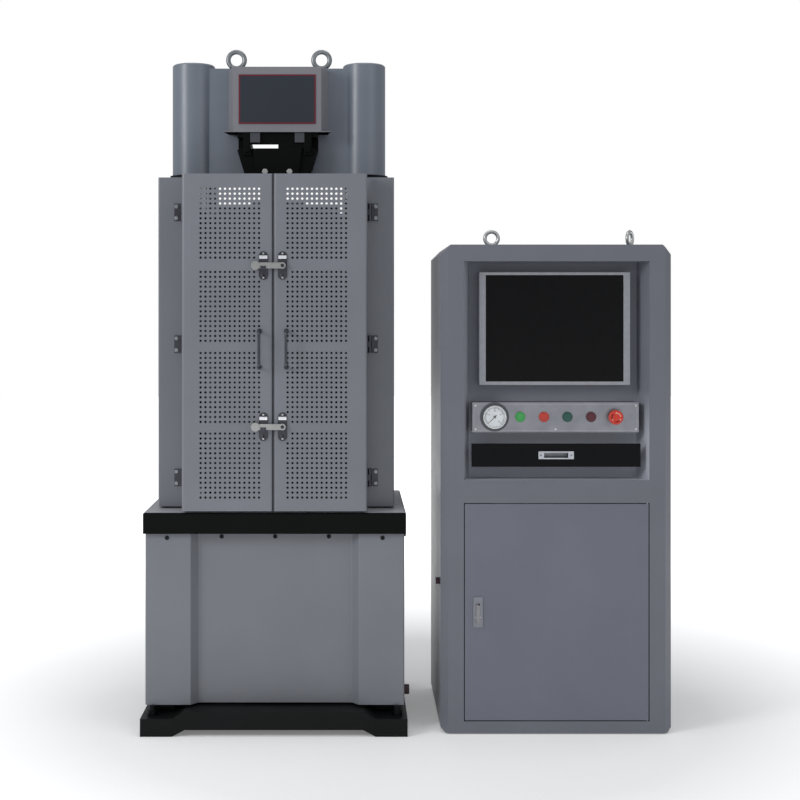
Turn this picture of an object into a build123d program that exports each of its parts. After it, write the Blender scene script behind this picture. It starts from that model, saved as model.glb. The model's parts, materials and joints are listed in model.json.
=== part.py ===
from build123d import *
import math
import os

# Hydraulic universal testing machine: load frame with its separate control cabinet.
# Millimetres, +Z up, front of the machine towards -Y, floor at Z 0.

# Widths and depths of the load frame, each grown from the part inside it
TABLE_HALF_W, TABLE_HALF_D, TABLE_Z1 = 170, 115, 1005
COLUMN_REACH, PANEL_REACH, PLATE_RIM = 86, 85, 31.5
HOUSING_IN, FOOT_OUT = 4.5, 2.5
COLUMN_X = TABLE_HALF_W + COLUMN_REACH
PANEL_OUT = COLUMN_X + PANEL_REACH
PLATE_W = 2 * (PANEL_OUT + PLATE_RIM)
HOUSING_W = PLATE_W - 2 * HOUSING_IN
FOOT_W = PLATE_W + 2 * FOOT_OUT
PANEL_FRONT, PANEL_BACK = -170, 190
PLATE_BEHIND, PLATE_LEDGE, FOOT_LEDGE = 55, 15, 55
HOUSING_BACK = PANEL_BACK + PLATE_BEHIND
HOUSING_FRONT = -HOUSING_BACK
PLATE_D = 2 * (HOUSING_BACK + PLATE_LEDGE)
FOOT_D = 2 * (HOUSING_BACK + FOOT_LEDGE)

# Whole machine
CAB_W, CAB_D, CAB_H = 652, 500, 1380
UNIT_PITCH = 796                      # tower centre to cabinet centre
TOTAL_W = FOOT_W / 2 + UNIT_PITCH + CAB_W / 2
TOWER_X = FOOT_W / 2 - TOTAL_W / 2
CABINET_X = TOWER_X + UNIT_PITCH

# Shared clearances and sheet sizes
RUN_FIT = 0.06                        # radial, turned shaft in its bush
SLIDE_FIT = 0.1                       # flat guide faces
LOOSE = 1.5                           # radial, rod passing through a plate
SEAT = 0.02                           # screw shank in its hole, radial
SHEET = 2
SHEET_THICK = 3
BEND = 5

# Foot, posts and lower housing
FOOT_T, FOOT_RISE = 50, 19
FOOT_END_IN, FOOT_MID_IN = 89, 125    # slope start and end, measured from the foot's side
BOLT_IN_X, BOLT_IN_Y = 29, 45
LEVEL_R, LEVEL_NUT_R, LEVEL_NUT_H, LEVEL_STUD_UP = 9, 15, 12, 26
POST, POST_WALL, POST_IN_X, POST_IN_Y = 60, 5, 50, 75
POST_X, POST_Y = HOUSING_W / 2 - POST_IN_X, HOUSING_BACK - POST_IN_Y
HOUSING_Z0, HOUSING_Z1 = 75, 562
SLOPE_IN, SLOPE_RUN, RECESS_DEEP = 129, 20, 25
SLOPE_HALF = HOUSING_W / 2 - SLOPE_IN
RECESS_HALF = SLOPE_HALF - SLOPE_RUN
WRAP_IN = 49
WRAP_FRONT = HOUSING_FRONT + WRAP_IN
HOUSING_SCREW_Z, HOUSING_SCREW_IN = 549, 62
HOUSING_SCREW_X = (HOUSING_W / 2 - HOUSING_SCREW_IN) / 2
SCREW_HEAD_R, SCREW_HEAD_H, SCREW_SHANK_R, SIDE_HEAD_H, SIDE_HEAD_IN = 6, 3.2, 3, 7, 20
VENT_W, VENT_H, VENT_PITCH, VENT_ROWS, VENT_Z, VENT_X = 120, 8, 22, 7, 330, 150
PORT_R, PORT_BORE, PORT_OUT, PORT_Z, PORT_Y = 14, 8, 16, 88, -178

# Top plate, cylinder and piston
PLATE_Z0, PLATE_Z1, PLATE_EDGE = 562, 622, 3
CYL_R, CYL_FLANGE_R, CYL_FLANGE_T, CYL_Z0 = 128, 165, 36, 190
PISTON_R, PISTON_Z0 = 95, 215
CYL_PORT_R, CYL_PORT_L = 16, 34
CYL_BOLT_R, CYL_BOLT_RING_R, CYL_BOLT_H, CYL_BOLTS = 12, 147, 16, 8

# Columns, worktable and upper crosshead
COLUMN_R = 35
TABLE_FLANGE_H, TABLE_WAIST, TABLE_CAP_H = 62, 16, 64
TABLE_RIB_T = 26
EAR_Z0, EAR_Z1, EAR_R, EAR_ARM_T = 672, 764, 55, 78
SLOT_W, SLOT_D, SLOT_FOOT_W, SLOT_FOOT_H, SLOT_Y = 18, 30, 30, 12, 70
NUT_R, NUT_H, COLUMN_TAIL = 52, 30, 8
BOSS_R, BOSS_Z0, BOSS_Z1, BOSS_EDGE = 63.5, 1598, 1930, 4
WALL_HALF_D, WALL_Z1 = 40, 1916
POCKET_HALF, POCKET_Z1 = 119, 1718
CAP_R, CAP_H = 46, 14
BOX_FRONT_Y, BOX_FRONT_HALF, BOX_REAR_HALF, BOX_FLOOR_HALF, BOX_Z1 = -107, 129, 147, 158, 1910
NAME_HALF, NAME_Z0, NAME_Z1, NAME_T = 113, 1742, 1887, 2
EYE16_X, EYE16_RING_R, EYE16_WIRE_R, EYE16_COLLAR_R, EYE16_COLLAR_H = 128, 24.5, 7, 17.5, 9
EYE16_RISE, EYE16_SHANK_R, EYE16_SHANK_L = 31.5, 8, 24

# Wedge grips, upper and lower
WEDGE_DEG = 14
GRIP_Z0, GRIP_SHOULDER_Z, GRIP_Z1 = 1592, 1667, 1704
GRIP_HALF_0 = 57                      # half gap between the cheeks at their narrow end
CHEEK_T = 39
CHEEK_FRONT, CHEEK_BACK = -92, 60
YOKE_BACK = 60
CHEEK_TOP_Z = 1682                    # inner corner of the cheeks' front, above the shoulder
COVER_T, COVER_HALF, COVER_Z1, COVER_BOLT_X, COVER_BOLT_Z = 10, 73, 1671, 36, 1602
HEX_R, HEX_H = 9, 7
BAR_Z0, BAR_T, STOP_BLOCK_X = 1684, 11, 2
LINK_HALF, LINK_X, LINK_DROP = 14, 65, 16
STAY_X, STAY_W, STAY_IN = 89, 22, 2
JAW_HALF_GAP, JAW_H, JAW_FRONT, JAW_BACK = 7, 78, -80, 48
TOOTH, TOOTH_PITCH = 1.5, 12

# Middle crosshead and lead screws
MID_WIDER, MID_HALF_D, MID_Z0, MID_Z1 = 8, 118, 1349, 1505
MID_HALF_W = TABLE_HALF_W + MID_WIDER
MID_EAR_Z0, MID_EAR_Z1 = 1378, 1478
MID_BOSS_R, MID_NUT_BOSS_R = 56, 44
SCREW_IN, SCREW_Y, SCREW_R = 41, 85, 24
SCREW_X = COLUMN_X - SCREW_IN
SCREW_Z0, SCREW_Z1, SCREW_NECK_R, SCREW_NECK_Z = 470, 1575, 18, 628
BUSH_WALL, BUSH_FLANGE, BUSH_FLANGE_T = 8, 7, 8
MOUTH_Z0 = 1393                       # floor of the lower grip's cavity
LOWER_NARROW_Z = 1499
PLATEN_R, PLATEN_T, PLATEN_BOSS_R, PLATEN_BOSS_T = 80, 32, 42, 16
GROOVE_W, GROOVE_D = 2, 1.5

# Crosshead drive under the top plate
CASE_Z0, CASE_Z1, CASE_R, CASE_HOLE_R = 470, 540, 52, 168
CASE_X, CASE_Y = SCREW_X + 15, 130
MOTOR_R, MOTOR_L, MOTOR_CAP_R, MOTOR_CAP_H, FIN_T, FINS = 48, 190, 44, 22, 3, 12
GEAR_HALF, GEAR_H = 50, 60
HANGER_R, HANGER_X, HANGER_Y = 12, CASE_X + 25, 50

# Guard: fixed panels and two doors
GUARD_Z0, GUARD_Z1 = 628, 1579
GUARD_FOOT_W = 60
PIVOT_IN, PIVOT_Y, PIN_R, KNUCKLE_R = 71, -176.5, 3, 5.5
PIVOT_X = PANEL_OUT - PIVOT_IN
PANEL_IN = PIVOT_X - 15               # the fixed panel reaches in behind the door's edge
PANEL_LIP, PANEL_FLANGE = 22, 26
REAR_HALF, REAR_Z1, REAR_LIP = PANEL_OUT - 41, 1480, 52
DOOR_FRONT, DOOR_REAR_Y, DOOR_HALF = -265, -180, PIVOT_X - 8
DOOR_Z0, DOOR_Z1, DOOR_BEND, DOOR_LIP = 627, 1581, 8, 18
MEET_X, MEET_GAP = -4, 2
HINGE_H, HINGE_LEAF_T, HINGE_LEAF, HINGE_GAP = 50, 3, 24, 0.5
HINGE_Z = (712, 1097, 1478)
LATCH_Z = (866, 1321)
LATCH_PLATE_W, LATCH_PLATE_H, LATCH_PLATE_T, LATCH_OFF = 26, 80, 3, 27
ARM_T, ARM_H, ARM_GAP, ARM_LEFT = 6, 17, 1, 76
KNOB_R, KNOB_T = 12.5, 9
LATCH_PIN_R, LATCH_BOSS_R = 4, 11
LEDGE_T, LEDGE_W, LIP_H = 3, 16, 7
HANDLE_X, HANDLE_Z, HANDLE_L, HANDLE_R, HANDLE_OUT = 38, 1085, 102, 4, 30
HANDLE_FOOT_R, HANDLE_FOOT_H = 7, 3

# Control cabinet
CAB_FRONT, CAB_BEVEL, CAB_CHAMFER, CAB_SKIN, CAB_CORNER = -275, 20, 27, 2, 12
CAB_FOOT_H, CAB_FOOT_R, CAB_FOOT_IN = 3, 22, 70
TUB_HALF, TUB_Z0, TUB_Z1, TUB_DEEP, TUB_TAPER, TUB_RIM = 261.5, 716, 1333, 82, 20, 9
FRAME_HALF, FRAME_Z0, FRAME_Z1, FRAME_T, FRAME_OUT = 215, 982, 1303, 34, 8
SCREEN_HALF, SCREEN_Z0, SCREEN_Z1, SCREEN_IN = 196, 992, 1295, 2
PANEL_HALF, CONTROL_Z0, CONTROL_Z1, CONTROL_T, CONTROL_Y = 236, 849, 934, 3, -252
CONTROL_SCREW_IN = 9
BUTTON_Z, BUTTON_X = 892.5, (-100.5, -33, 33.5, 100.5)
CAP_BUTTON_R, BEZEL_R, BEZEL_H, BUTTON_BODY_R, BUTTON_BODY_L = 11, 14.5, 4, 10.5, 38
BUTTON_OUT, BUTTON_STROKE = 3.5, 3.5
STOP_X, STOP_R, STOP_H, STOP_NECK_R, STOP_GAP, STOP_BEZEL_R = 168, 20.5, 12, 10, 7, 15.5
GAUGE_X, GAUGE_R, GAUGE_FLANGE_R, GAUGE_OUT, GAUGE_BEZEL = -173, 33, 41, 12, 4
GAUGE_CAN_R, GAUGE_CAN_L = 26, 34
NEEDLE_L, NEEDLE_W, NEEDLE_T, NEEDLE_HUB_R, NEEDLE_REST = 22, 2.2, 0.8, 3.5, 135
DRAWER_HALF, DRAWER_Z0, DRAWER_Z1, DRAWER_T, DRAWER_Y = 239, 752, 818, 4, -262
TRAY_HALF, TRAY_Z0, TRAY_H, TRAY_DEEP, TRAY_WALL = 214, 758, 44, 330, 2
RUNNER_W, RUNNER_H, RUNNER_GAP = 13, 35, 0.5
TRAY_CUT_LOW, TRAY_CUT_HIGH = 2, 12
PULL_HALF, PULL_H, PULL_CUP_HALF, PULL_T = 50, 22, 36, 2
KEYS_HALF, KEYS_D, KEYS_T, KEY, KEY_GAP, KEY_H = 190, 140, 12, 17, 2, 5
KEY_ROWS, KEY_COLS = 5, 19
CDOOR_HALF, CDOOR_Z0, CDOOR_Z1, CDOOR_LIP, CDOOR_GAP = 259, 39, 649, 22, 2.5
CDOOR_IN = 1
CPIN_R, CPIN_IN_X, CPIN_IN_Y, CPIN_ARM_W, CPIN_ARM_T, CPIN_UP = 2, 3.2, 3.5, 24, 3, 4.5
LOCK_X, LOCK_Z, LOCK_W, LOCK_H, LOCK_OUT, LOCK_ROUND = -222, 344, 27, 86, 3, 4
LEVER_W, LEVER_L, LEVER_T, LEVER_Z = 11, 56, 5, 362
TANK_HALF_W, TANK_D, TANK_Z1, TANK_LID = 230, 300, 330, 8
PUMP_R, PUMP_L, PUMP_X, PUMP_Z = 62, 190, -70, 422
VALVE_W, VALVE_D, VALVE_H, VALVE_X = 110, 110, 90, 130
SIDE_PORT_R, SIDE_PORT_OUT, SIDE_PORT_Y, SIDE_PORT_Z = 9.5, 12, -219, 423
REAR_PORT_X, REAR_PORT_Z = 150, 600
EYE10_X, EYE10_Y, EYE10_TURNS = (-164.5, 244), -80, (0, 57)
EYE10_RING_R, EYE10_WIRE_R, EYE10_COLLAR_R, EYE10_COLLAR_H = 19.5, 5.5, 12.5, 7
EYE10_RISE, EYE10_SHANK_R, EYE10_SHANK_L = 27, 5, 14


def box(x0, x1, y0, y1, z0, z1):
    middle = Pos((x0 + x1) / 2, (y0 + y1) / 2, (z0 + z1) / 2)
    return middle * Box(abs(x1 - x0), abs(y1 - y0), abs(z1 - z0))


def rod_z(x, y, z0, z1, r):
    return Pos(x, y, (z0 + z1) / 2) * Cylinder(r, abs(z1 - z0))


def rod_y(x, z, y0, y1, r):
    return Pos(x, (y0 + y1) / 2, z) * Rot(90, 0, 0) * Cylinder(r, abs(y1 - y0))


def rod_x(y, z, x0, x1, r):
    return Pos((x0 + x1) / 2, y, z) * Rot(0, 90, 0) * Cylinder(r, abs(x1 - x0))


def plan_prism(points, z0, z1):
    face = make_face(Polyline(*points, close=True))
    return Pos(0, 0, z0) * extrude(face, z1 - z0)


def front_prism(points, y0, y1):
    """A shape drawn in the front view as (x, z) and run from y0 back to y1."""
    face = make_face(Polyline(*[(x, 0, z) for x, z in points], close=True))
    return Pos(0, y0, 0) * extrude(face, y1 - y0, dir=(0, 1, 0))


def bent_sheet(points, side, t, r, z0, z1):
    """Sheet folded along a plan path, the metal lying on the given side of it."""
    wire = Wire(FilletPolyline(*points, radius=r).edges())
    return Pos(0, 0, z0) * extrude(make_face(wire.offset_2d(t, side=side)), z1 - z0, dir=(0, 0, 1))


def hex_y(x, z, y0, y1, r):
    prism = extrude(RegularPolygon(r, 6), abs(y1 - y0))
    return Pos(x, max(y0, y1), z) * Rot(90, 0, 0) * prism


def hex_z(x, y, z0, z1, r):
    return Pos(x, y, z0) * extrude(RegularPolygon(r, 6), z1 - z0)


def mirror_x(shape):
    return mirror(shape, about=Plane.YZ)


def pair(shape):
    return [shape, mirror_x(shape)]


def screw_y(x, z, y, depth, r=SCREW_SHANK_R):
    """A domed screw seen from the front, its head on the face at y."""
    head = rod_y(x, z, y - SCREW_HEAD_H, y, SCREW_HEAD_R)
    head = fillet(head.edges().group_by(Axis.Y)[0], SCREW_HEAD_H / 2)
    return head + rod_y(x, z, y, y + depth, r)


def eye_bolt(x, y, z, turn, ring_r, wire_r, collar_r, collar_h, rise, shank_r, shank_l):
    ring = Pos(0, 0, rise) * Rot(90, 0, 0) * Torus(ring_r, wire_r)
    collar = rod_z(0, 0, 0, collar_h, collar_r) + rod_z(0, 0, -shank_l, 0, shank_r)
    hole = rod_y(0, rise, -collar_r, collar_r, ring_r - wire_r)
    return Pos(x, y, z) * Rot(0, 0, turn) * (ring + (collar - hole))


# Foot and lower housing

def base_frame():
    """Arched foot plate with the four posts of the frame welded on."""
    a, b, h = FOOT_W / 2, FOOT_T, FOOT_RISE
    low, high = a - FOOT_END_IN, a - FOOT_MID_IN
    outline = [(-a, 0), (-low, 0), (-high, h), (high, h), (low, 0), (a, 0), (a, b),
               (low, b), (high, b + h), (-high, b + h), (-low, b), (-a, b)]
    plate = front_prism(outline, -FOOT_D / 2, FOOT_D / 2)
    for x, y in level_places():
        plate -= rod_z(x, y, 0, FOOT_T, LEVEL_R + SEAT)
    for post in frame_posts():
        plate += post
    return plate


def level_places():
    x, y = FOOT_W / 2 - BOLT_IN_X, FOOT_D / 2 - BOLT_IN_Y
    return [(-x, -y), (x, -y), (-x, y), (x, y)]


def leveling_bolts():
    top = FOOT_T + LEVEL_STUD_UP
    return [rod_z(x, y, 0, top, LEVEL_R) + hex_z(x, y, FOOT_T, FOOT_T + LEVEL_NUT_H, LEVEL_NUT_R)
            for x, y in level_places()]


def frame_posts():
    """Four square tubes that carry the top plate."""
    out = []
    inner = POST - 2 * POST_WALL
    for x in (-POST_X, POST_X):
        for y in (-POST_Y, POST_Y):
            tube = Pos(x, y, (FOOT_T + PLATE_Z0) / 2) * (
                Box(POST, POST, PLATE_Z0 - FOOT_T) - Box(inner, inner, PLATE_Z0 - FOOT_T))
            out.append(tube)
    return out


def housing_front():
    a, s, c = HOUSING_W / 2, SLOPE_HALF, RECESS_HALF
    f, d = HOUSING_FRONT, HOUSING_FRONT + RECESS_DEEP
    path = [(-a, WRAP_FRONT - HINGE_GAP), (-a, f), (-s, f), (-c, d), (c, d), (s, f), (a, f),
            (a, WRAP_FRONT - HINGE_GAP)]
    cover = bent_sheet(path, Side.LEFT, SHEET_THICK, BEND, HOUSING_Z0, HOUSING_Z1)
    for x, y in housing_screw_places():
        cover -= rod_y(x, HOUSING_SCREW_Z, y - BEND, y + BEND * 2, SCREW_SHANK_R + SEAT)
    return cover


def housing_screw_places():
    wide = 2 * HOUSING_SCREW_X
    return [(-wide, HOUSING_FRONT), (wide, HOUSING_FRONT)] + [
        (x, HOUSING_FRONT + RECESS_DEEP) for x in (-HOUSING_SCREW_X, 0, HOUSING_SCREW_X)]


def housing_wrap():
    """The U-shaped cover round both sides and the back, with louvre slots and the oil port."""
    a, b = HOUSING_W / 2, HOUSING_BACK
    path = [(a, WRAP_FRONT), (a, b), (-a, b), (-a, WRAP_FRONT)]
    cover = bent_sheet(path, Side.LEFT, SHEET_THICK, BEND, HOUSING_Z0, HOUSING_Z1)
    for x in (-VENT_X, VENT_X):
        for i in range(VENT_ROWS):
            z = VENT_Z + i * VENT_PITCH
            cover -= box(x - VENT_W / 2, x + VENT_W / 2, b - BEND, b + BEND, z, z + VENT_H)
    port = rod_x(PORT_Y, PORT_Z + PORT_R, a, a + PORT_OUT, PORT_R)
    bore = rod_x(PORT_Y, PORT_Z + PORT_R, a - BEND, a + PORT_OUT, PORT_BORE)
    return cover + port - bore


def housing_screws():
    front = [screw_y(x, HOUSING_SCREW_Z, y, SHEET_THICK) for x, y in housing_screw_places()]
    sides = []
    for s in (-1, 1):
        x = s * HOUSING_W / 2
        y = WRAP_FRONT + SIDE_HEAD_IN
        sides.append(rod_x(y, HOUSING_SCREW_Z, x, x + s * SIDE_HEAD_H, SCREW_HEAD_R))
    back = [rod_y(x, HOUSING_SCREW_Z, HOUSING_BACK, HOUSING_BACK + SCREW_HEAD_H, SCREW_HEAD_R)
            for x in (-2 * HOUSING_SCREW_X, 0, 2 * HOUSING_SCREW_X)]
    return front + sides + back


# Top plate, lifting cylinder and crosshead drive

def top_plate():
    plate = box(-PLATE_W / 2, PLATE_W / 2, -PLATE_D / 2, PLATE_D / 2, PLATE_Z0, PLATE_Z1)
    plate = chamfer(plate.edges().group_by(Axis.Z)[-1], PLATE_EDGE)
    plate -= rod_z(0, 0, PLATE_Z0, PLATE_Z1, PISTON_R + LOOSE)
    for x, y in screw_places():
        plate -= rod_z(x, y, PLATE_Z0, PLATE_Z1, SCREW_NECK_R + RUN_FIT)
    return plate


def screw_places():
    return [(-SCREW_X, SCREW_Y), (SCREW_X, -SCREW_Y)]


def main_cylinder():
    body = rod_z(0, 0, CYL_Z0, PLATE_Z0, CYL_R)
    body += rod_z(0, 0, PLATE_Z0 - CYL_FLANGE_T, PLATE_Z0, CYL_FLANGE_R)
    body += rod_y(0, CYL_Z0 + 2 * CYL_PORT_R, CYL_R - CYL_PORT_R, CYL_R + CYL_PORT_L, CYL_PORT_R)
    body -= rod_z(0, 0, PISTON_Z0 - LOOSE, PLATE_Z0, PISTON_R + RUN_FIT)
    low = PLATE_Z0 - CYL_FLANGE_T
    for place in PolarLocations(CYL_BOLT_RING_R, CYL_BOLTS):
        x, y = place.position.X, place.position.Y
        body += hex_z(x, y, low - CYL_BOLT_H, low, CYL_BOLT_R)
    return body


def piston():
    rod = rod_z(0, 0, PISTON_Z0, PLATE_Z1, PISTON_R)
    return chamfer(rod.edges().group_by(Axis.Z)[0], LOOSE)


def crosshead_drive():
    """Closed chain case round the cylinder with its geared motor and hanger bolts."""
    corners = [(s * CASE_X, t * CASE_Y) for s in (-1, 1) for t in (-1, 1)]
    rounds = [Pos(x, y) * Circle(CASE_R) for x, y in corners]
    outline = make_hull([e for shape in rounds for e in shape.edges()])
    case = Pos(0, 0, CASE_Z0) * extrude(outline, CASE_Z1 - CASE_Z0, dir=(0, 0, 1))
    case -= rod_z(0, 0, CASE_Z0, CASE_Z1, CASE_HOLE_R)
    for x, y in screw_places():
        case -= rod_z(x, y, CASE_Z0, CASE_Z1, SCREW_NECK_R + RUN_FIT)
    for s in (-1, 1):
        case += rod_z(s * HANGER_X, s * HANGER_Y, CASE_Z1, PLATE_Z0, HANGER_R)
        case += rod_z(s * HANGER_X, -s * HANGER_Y, CASE_Z1, PLATE_Z0, HANGER_R)
    return case + geared_motor(-SCREW_X, -SCREW_Y)


def geared_motor(x, y):
    z = CASE_Z0 - GEAR_H
    gear = box(x - GEAR_HALF, x + GEAR_HALF, y - GEAR_HALF, y + GEAR_HALF, z, CASE_Z0)
    body = rod_z(x, y, z - MOTOR_L, z, MOTOR_R - FIN_T)
    for place in PolarLocations(0, FINS):
        fin = box(0, MOTOR_R, -FIN_T / 2, FIN_T / 2, z - MOTOR_L, z)
        body += Pos(x, y, 0) * Rot(0, 0, place.orientation.Z) * fin
    cap = rod_z(x, y, z - MOTOR_L - MOTOR_CAP_H, z - MOTOR_L, MOTOR_CAP_R)
    return gear + body + cap


# Moving frame: worktable, columns, upper crosshead

def t_slot(y):
    span = TABLE_HALF_W
    top = box(-span, span, y - SLOT_W / 2, y + SLOT_W / 2, TABLE_Z1 - SLOT_D, TABLE_Z1)
    low = TABLE_Z1 - SLOT_D
    return top + box(-span, span, y - SLOT_FOOT_W / 2, y + SLOT_FOOT_W / 2, low, low + SLOT_FOOT_H)


def worktable():
    w, d, t = TABLE_HALF_W, TABLE_HALF_D, TABLE_WAIST
    block = box(-w, w, -d, d, PLATE_Z1, PLATE_Z1 + TABLE_FLANGE_H)
    block += box(-w + t, w - t, -d + t, d - t, PLATE_Z1, TABLE_Z1)
    block += box(-w, w, -d, d, TABLE_Z1 - TABLE_CAP_H, TABLE_Z1)
    for x in (-w + TABLE_RIB_T / 2, 0, w - TABLE_RIB_T / 2):
        block += box(x - TABLE_RIB_T / 2, x + TABLE_RIB_T / 2, -d, d, PLATE_Z1, TABLE_Z1)
    arm = box(-COLUMN_X, COLUMN_X, -EAR_ARM_T / 2, EAR_ARM_T / 2, EAR_Z0, EAR_Z1)
    block += arm
    for x in (-COLUMN_X, COLUMN_X):
        block += rod_z(x, 0, EAR_Z0, EAR_Z1, EAR_R)
    for x in (-COLUMN_X, COLUMN_X):
        block -= rod_z(x, 0, EAR_Z0, EAR_Z1, COLUMN_R)
    for y in (-SLOT_Y, SLOT_Y):
        block -= t_slot(y)
    return block


def columns():
    return [rod_z(x, 0, EAR_Z0 - NUT_H - COLUMN_TAIL, BOSS_Z1 - CAP_H, COLUMN_R)
            for x in (-COLUMN_X, COLUMN_X)]


def column_nuts():
    out = []
    for x in (-COLUMN_X, COLUMN_X):
        ring = hex_z(x, 0, EAR_Z0 - NUT_H, EAR_Z0, NUT_R) - rod_z(x, 0, EAR_Z0 - NUT_H, EAR_Z0, COLUMN_R)
        out += [ring, rod_z(x, 0, BOSS_Z1 - CAP_H, BOSS_Z1, CAP_R)]
    return out


def upper_crosshead():
    body = box(-COLUMN_X, COLUMN_X, -WALL_HALF_D, WALL_HALF_D, BOSS_Z0, WALL_Z1)
    for x in (-COLUMN_X, COLUMN_X):
        boss = rod_z(x, 0, BOSS_Z0, BOSS_Z1, BOSS_R)
        boss = chamfer(boss.edges().group_by(Axis.Z)[-1], BOSS_EDGE)
        body += boss
    for x in (-COLUMN_X, COLUMN_X):
        body -= rod_z(x, 0, BOSS_Z0, BOSS_Z1 - CAP_H, COLUMN_R)
        body -= rod_z(x, 0, BOSS_Z1 - CAP_H, BOSS_Z1, CAP_R)
    w = slope(GRIP_Z0, GRIP_Z0, 1) + CHEEK_T
    pocket = [(-w, GRIP_Z0), (w, GRIP_Z0), (POCKET_HALF, GRIP_SHOULDER_Z), (POCKET_HALF, POCKET_Z1),
              (-POCKET_HALF, POCKET_Z1), (-POCKET_HALF, GRIP_SHOULDER_Z)]
    body -= front_prism(pocket, -WALL_HALF_D, WALL_HALF_D)
    for x in (-EYE16_X, EYE16_X):
        body -= rod_z(x, 0, WALL_Z1 - EYE16_SHANK_L, WALL_Z1, EYE16_SHANK_R)
    return body


def name_box():
    """Folded box on the casting: splayed sides, open at the rear, on a wider floor sheet."""
    f, r, t = BOX_FRONT_HALF, BOX_REAR_HALF, SHEET_THICK
    y0, y1, z0, z1 = BOX_FRONT_Y, -WALL_HALF_D, POCKET_Z1, BOX_Z1
    outer = plan_prism([(-r, y1), (-f, y0), (f, y0), (r, y1)], z0, z1)
    inner = plan_prism([(-r + 2 * t, y1), (-f + t, y0 + t), (f - t, y0 + t), (r - 2 * t, y1)],
                       z0 + t, z1 - t)
    outer -= inner
    outer += plan_prism([(-r, y1), (-BOX_FLOOR_HALF, y0), (BOX_FLOOR_HALF, y0), (r, y1)], z0, z0 + t)
    flange = box(-r, -r + 4 * t, y1 - t, y1, z0, z1)
    return outer + flange + mirror_x(flange)


def nameplate():
    return box(-NAME_HALF, NAME_HALF, BOX_FRONT_Y - NAME_T, BOX_FRONT_Y, NAME_Z0, NAME_Z1)


def crosshead_eyebolts():
    return [eye_bolt(x, 0, WALL_Z1, 0, EYE16_RING_R, EYE16_WIRE_R, EYE16_COLLAR_R, EYE16_COLLAR_H,
                     EYE16_RISE, EYE16_SHANK_R, EYE16_SHANK_L) for x in (-EYE16_X, EYE16_X)]


# Wedge grips

def slope(z, z_narrow, sign):
    """Half gap between the cheeks at height z; sign is +1 where the cavity opens upwards."""
    return GRIP_HALF_0 + sign * (z - z_narrow) * math.tan(math.radians(WEDGE_DEG))


def upper_grip_cheeks():
    a0, a1 = slope(GRIP_Z0, GRIP_Z0, 1), slope(GRIP_Z1, GRIP_Z0, 1)
    low = [(a0, GRIP_Z0), (a0 + CHEEK_T, GRIP_Z0), (POCKET_HALF, GRIP_SHOULDER_Z)]
    cheek = front_prism(low + [(POCKET_HALF, GRIP_Z1), (a1, GRIP_Z1)], -WALL_HALF_D, CHEEK_BACK)
    top = slope(CHEEK_TOP_Z, GRIP_Z0, 1)
    cheek += front_prism(low + [(top, CHEEK_TOP_Z)], CHEEK_FRONT, -WALL_HALF_D)
    yoke = box(-POCKET_HALF, POCKET_HALF, CHEEK_FRONT, YOKE_BACK, GRIP_Z1, POCKET_Z1)
    yoke += box(-a1, a1, CHEEK_FRONT, CHEEK_FRONT + BAR_T, BAR_Z0, GRIP_Z1)
    yoke += box(STOP_BLOCK_X, top, CHEEK_FRONT, CHEEK_FRONT + BAR_T, COVER_Z1, BAR_Z0)
    return cheek + mirror_x(cheek) + yoke


def upper_grip_links():
    """Links on the yoke, each with a stay down to its cheek and the bolt that pins it."""
    front, low = CHEEK_FRONT - COVER_T, GRIP_Z1 - LINK_DROP
    link = box(LINK_X - LINK_HALF, LINK_X + LINK_HALF, front, CHEEK_FRONT, low, POCKET_Z1)
    stay = box(STAY_X - STAY_W / 2, STAY_X + STAY_W / 2, front + STAY_IN, CHEEK_FRONT,
               GRIP_SHOULDER_Z - LINK_DROP, POCKET_Z1)
    bolt = hex_y(STAY_X, GRIP_SHOULDER_Z, front - HEX_H, front + STAY_IN, HEX_R)
    return pair(link + stay + bolt)


def upper_grip_cover():
    w0 = slope(GRIP_Z0, GRIP_Z0, 1) + COVER_T / 2
    y0, y1 = CHEEK_FRONT - COVER_T, CHEEK_FRONT
    points = [(-w0, GRIP_Z0), (w0, GRIP_Z0), (COVER_HALF, COVER_Z1), (-COVER_HALF, COVER_Z1)]
    plate = front_prism(points, y0, y1)
    for x in (-COVER_BOLT_X, COVER_BOLT_X):
        plate += hex_y(x, COVER_BOLT_Z, y0 - HEX_H, y0, HEX_R)
    return plate


def jaw(z0, z_narrow, sign, front=JAW_FRONT, back=JAW_BACK):
    """Right-hand wedge jaw: slanted back on the cheek, toothed face on the middle plane."""
    z1 = z0 + JAW_H
    a0 = slope(z0, z_narrow, sign) - SLIDE_FIT
    a1 = slope(z1, z_narrow, sign) - SLIDE_FIT
    face = [(JAW_HALF_GAP, z0)]
    teeth = int(JAW_H / TOOTH_PITCH)
    for i in range(teeth):
        z = z0 + i * TOOTH_PITCH
        face += [(JAW_HALF_GAP + TOOTH, z + TOOTH_PITCH / 2), (JAW_HALF_GAP, z + TOOTH_PITCH)]
    face += [(JAW_HALF_GAP, z1)] if face[-1][1] < z1 else []
    return front_prism(face + [(a1, z1), (a0, z0)], front, back)


def upper_jaw():
    return jaw(GRIP_Z0 + LOOSE, GRIP_Z0, 1)


def lower_jaw():
    return jaw(LOWER_NARROW_Z - JAW_H, LOWER_NARROW_Z, -1, -JAW_BACK, JAW_BACK)


# Middle crosshead

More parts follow.
